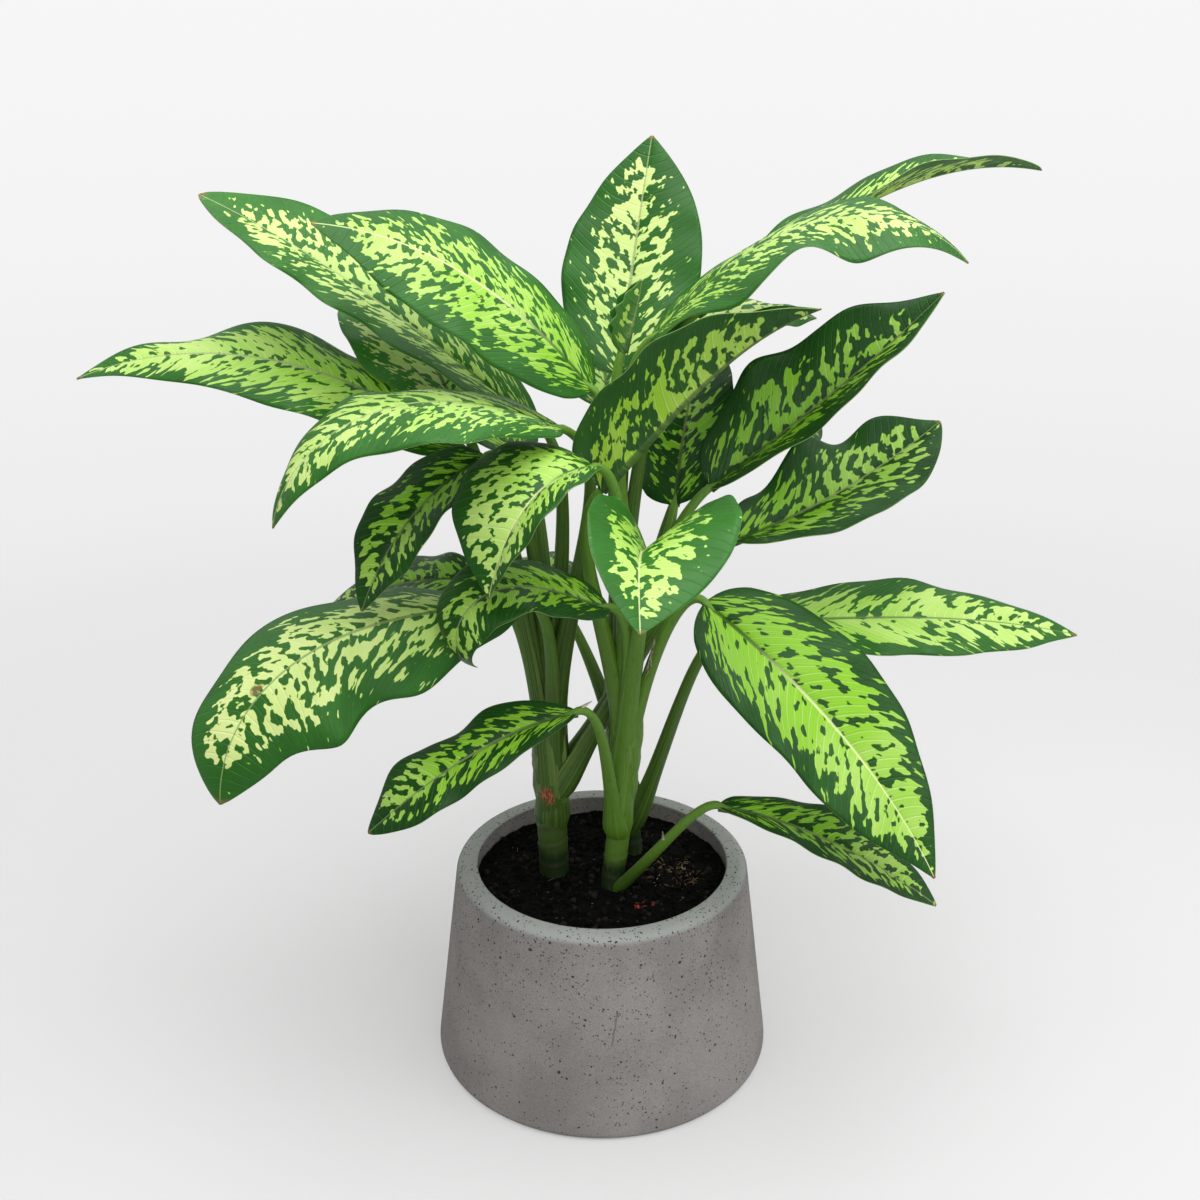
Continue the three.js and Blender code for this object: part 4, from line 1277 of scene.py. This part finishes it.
def model_cane(shoot):
    cane = CANES[shoot]
    top, foot, head = cane["top"], cane["foot_radius"], cane["top_radius"]
    heights = np.linspace(CANE_BOTTOM, top[2], CANE_ROWS)
    path = np.array([on_cane(shoot, max(z, SOIL_LEVEL)) * [1, 1, 0] + [0, 0, z] for z in heights])
    faces_to = np.tile(np.array([0.0, -1.0, 0.0]), (len(path), 1))

    def scars(t, angle):
        z = heights[0] + (heights[-1] - heights[0]) * t
        return [z - scar - 1.6 * np.sin(angle + scar) for scar in LEAF_SCARS[shoot]]

    def radius(t, angle):
        z = heights[0] + (heights[-1] - heights[0]) * t
        share = np.clip((z - TAPER_START) / (top[2] - TAPER_START), 0, 1)
        plain = (foot + (head - foot) * share) * np.sqrt(1 - np.minimum(share, 0.999) ** 4) + 1
        for off in scars(t, angle):
            plain = plain + 0.55 * np.exp(-(off ** 2)) - 0.4 * np.exp(-(((off - 2.4) / 1.3) ** 2))
        return plain

    piece = tube(path, faces_to, radius, CANE_SIDES, cane["fresh"])
    around = np.zeros(3 * len(piece.data.vertices))
    piece.data.attributes["around"].data.foreach_get("vector", around)
    cosine, sine, t = around.reshape(-1, 3).T
    angle = np.arctan2(sine, cosine)
    rings = sum(np.exp(-((off / 1.1) ** 2)) for off in scars(t, angle))
    keep_on_points(piece.data, "ring", "FLOAT", rings)
    return piece


for shoot in CANES:
    cane = model_cane(shoot)
    cane.data.materials.append(cane_paint)
    stalks = [model_stalk(Leaf(name)) for name in LEAVES if LEAVES[name]["shoot"] == shoot]
    activate(cane)
    for stalk in stalks:
        stalk.data.materials.append(stalk_paint)
        stalk.select_set(True)
    bpy.ops.object.join()
    finish_piece(cane, "stalks_" + shoot, "stalk", "shoot_" + shoot)
    print(cane.name, len(stalks), "stalks,", triangles(cane), "triangles")

# %% [markdown]
# ## Dry bits
# Old plants keep some dry remains: a papery edge left on a sheath, and pointed stubs where a
# small leaf broke off. The edge is a strip whose outer side is torn by noise, and each stub is a
# thin cone, bent a little.

# %% Model the dry bits
dry_paint = new_material("dry skin")
place = object_place()
fibrous = streaky(place, (700.0, 700.0, 150.0), 3.0)
tone = mix(step(fibrous, 0.35, 0.65), linear(96, 78, 58), linear(196, 190, 172))
wire(Base_Color=tone, Roughness=0.85)
bump(fibrous, 0.5, 0.0004)

EDGE_FOOT, EDGE_HEAD = Vector((28.0, -25.5, 296)), Vector((33.5, -27.5, 323))
EDGE_WIDTH = 3.2
STUB_POINT = 0.3
# Each stub's name, its foot, its direction, its length and the radius of its foot.
STUBS = (
    ("broken_stub_left", (-14, -54, 286), (0.75, 0.1, 0.55), 9, 1.5),
    ("broken_stub_right", (41, -45, 186), (-0.15, -0.25, 0.95), 7, 1.2),
)

deselect()
bpy.ops.mesh.primitive_grid_add(x_subdivisions=4, y_subdivisions=26, size=2)
edge = bpy.context.object
for point in edge.data.vertices:
    across, onward = (point.co.x + 1) / 2, (point.co.y + 1) / 2
    torn_off = 0.45 + 0.9 * noise.noise(Vector((onward * 9, 3.1, 0.7)))
    taper = math.sin(math.pi * min(1, 0.08 + onward * 0.9))
    spot = EDGE_FOOT.lerp(EDGE_HEAD, onward)
    spot += Vector((across * EDGE_WIDTH * torn_off * taper, -1.2 * across * across, across * 0.8))
    point.co = spot * MM
sheet = edge.modifiers.new("sheet", "SOLIDIFY")
sheet.thickness = 0.35 * MM
apply_all(edge)
bpy.ops.object.shade_smooth_by_angle(angle=math.radians(50))
finish_piece(edge, "dry_sheath_edge", "stalk", None, dry_paint)

for name, foot, direction, length, radius in STUBS:
    deselect()
    bpy.ops.mesh.primitive_cone_add(
        vertices=14, radius1=radius * MM, radius2=STUB_POINT * MM, depth=length * MM
    )
    stub = bpy.context.object
    edit_all(stub)
    bpy.ops.mesh.subdivide(number_cuts=2)
    bpy.ops.object.mode_set(mode="OBJECT")
    turn = Vector((0, 0, 1)).rotation_difference(Vector(direction))
    for point in stub.data.vertices:
        raised = point.co + Vector((0, 0, length * MM / 2))
        raised.x += 6 * raised.z ** 2
        point.co = turn @ raised + Vector(foot) * MM
    bpy.ops.object.shade_smooth_by_angle(angle=math.radians(50))
    finish_piece(stub, name, "stalk", None, dry_paint)
print("dry bits:", 1 + len(STUBS))

# %% [markdown]
# ## Comparing the boxes
# The two boxes, of the solid model and of this one, are compared and their greatest difference is
# printed.

# %% Finish
look_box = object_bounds()
sizes = {"cad": [list(corner) for corner in cad_box], "visual": [list(corner) for corner in look_box]}
gaps = [abs(a - b) for one, two in zip(cad_box, look_box) for a, b in zip(one, two)]
print("greatest difference of the boxes:", round(1000 * max(gaps), 2), "mm")
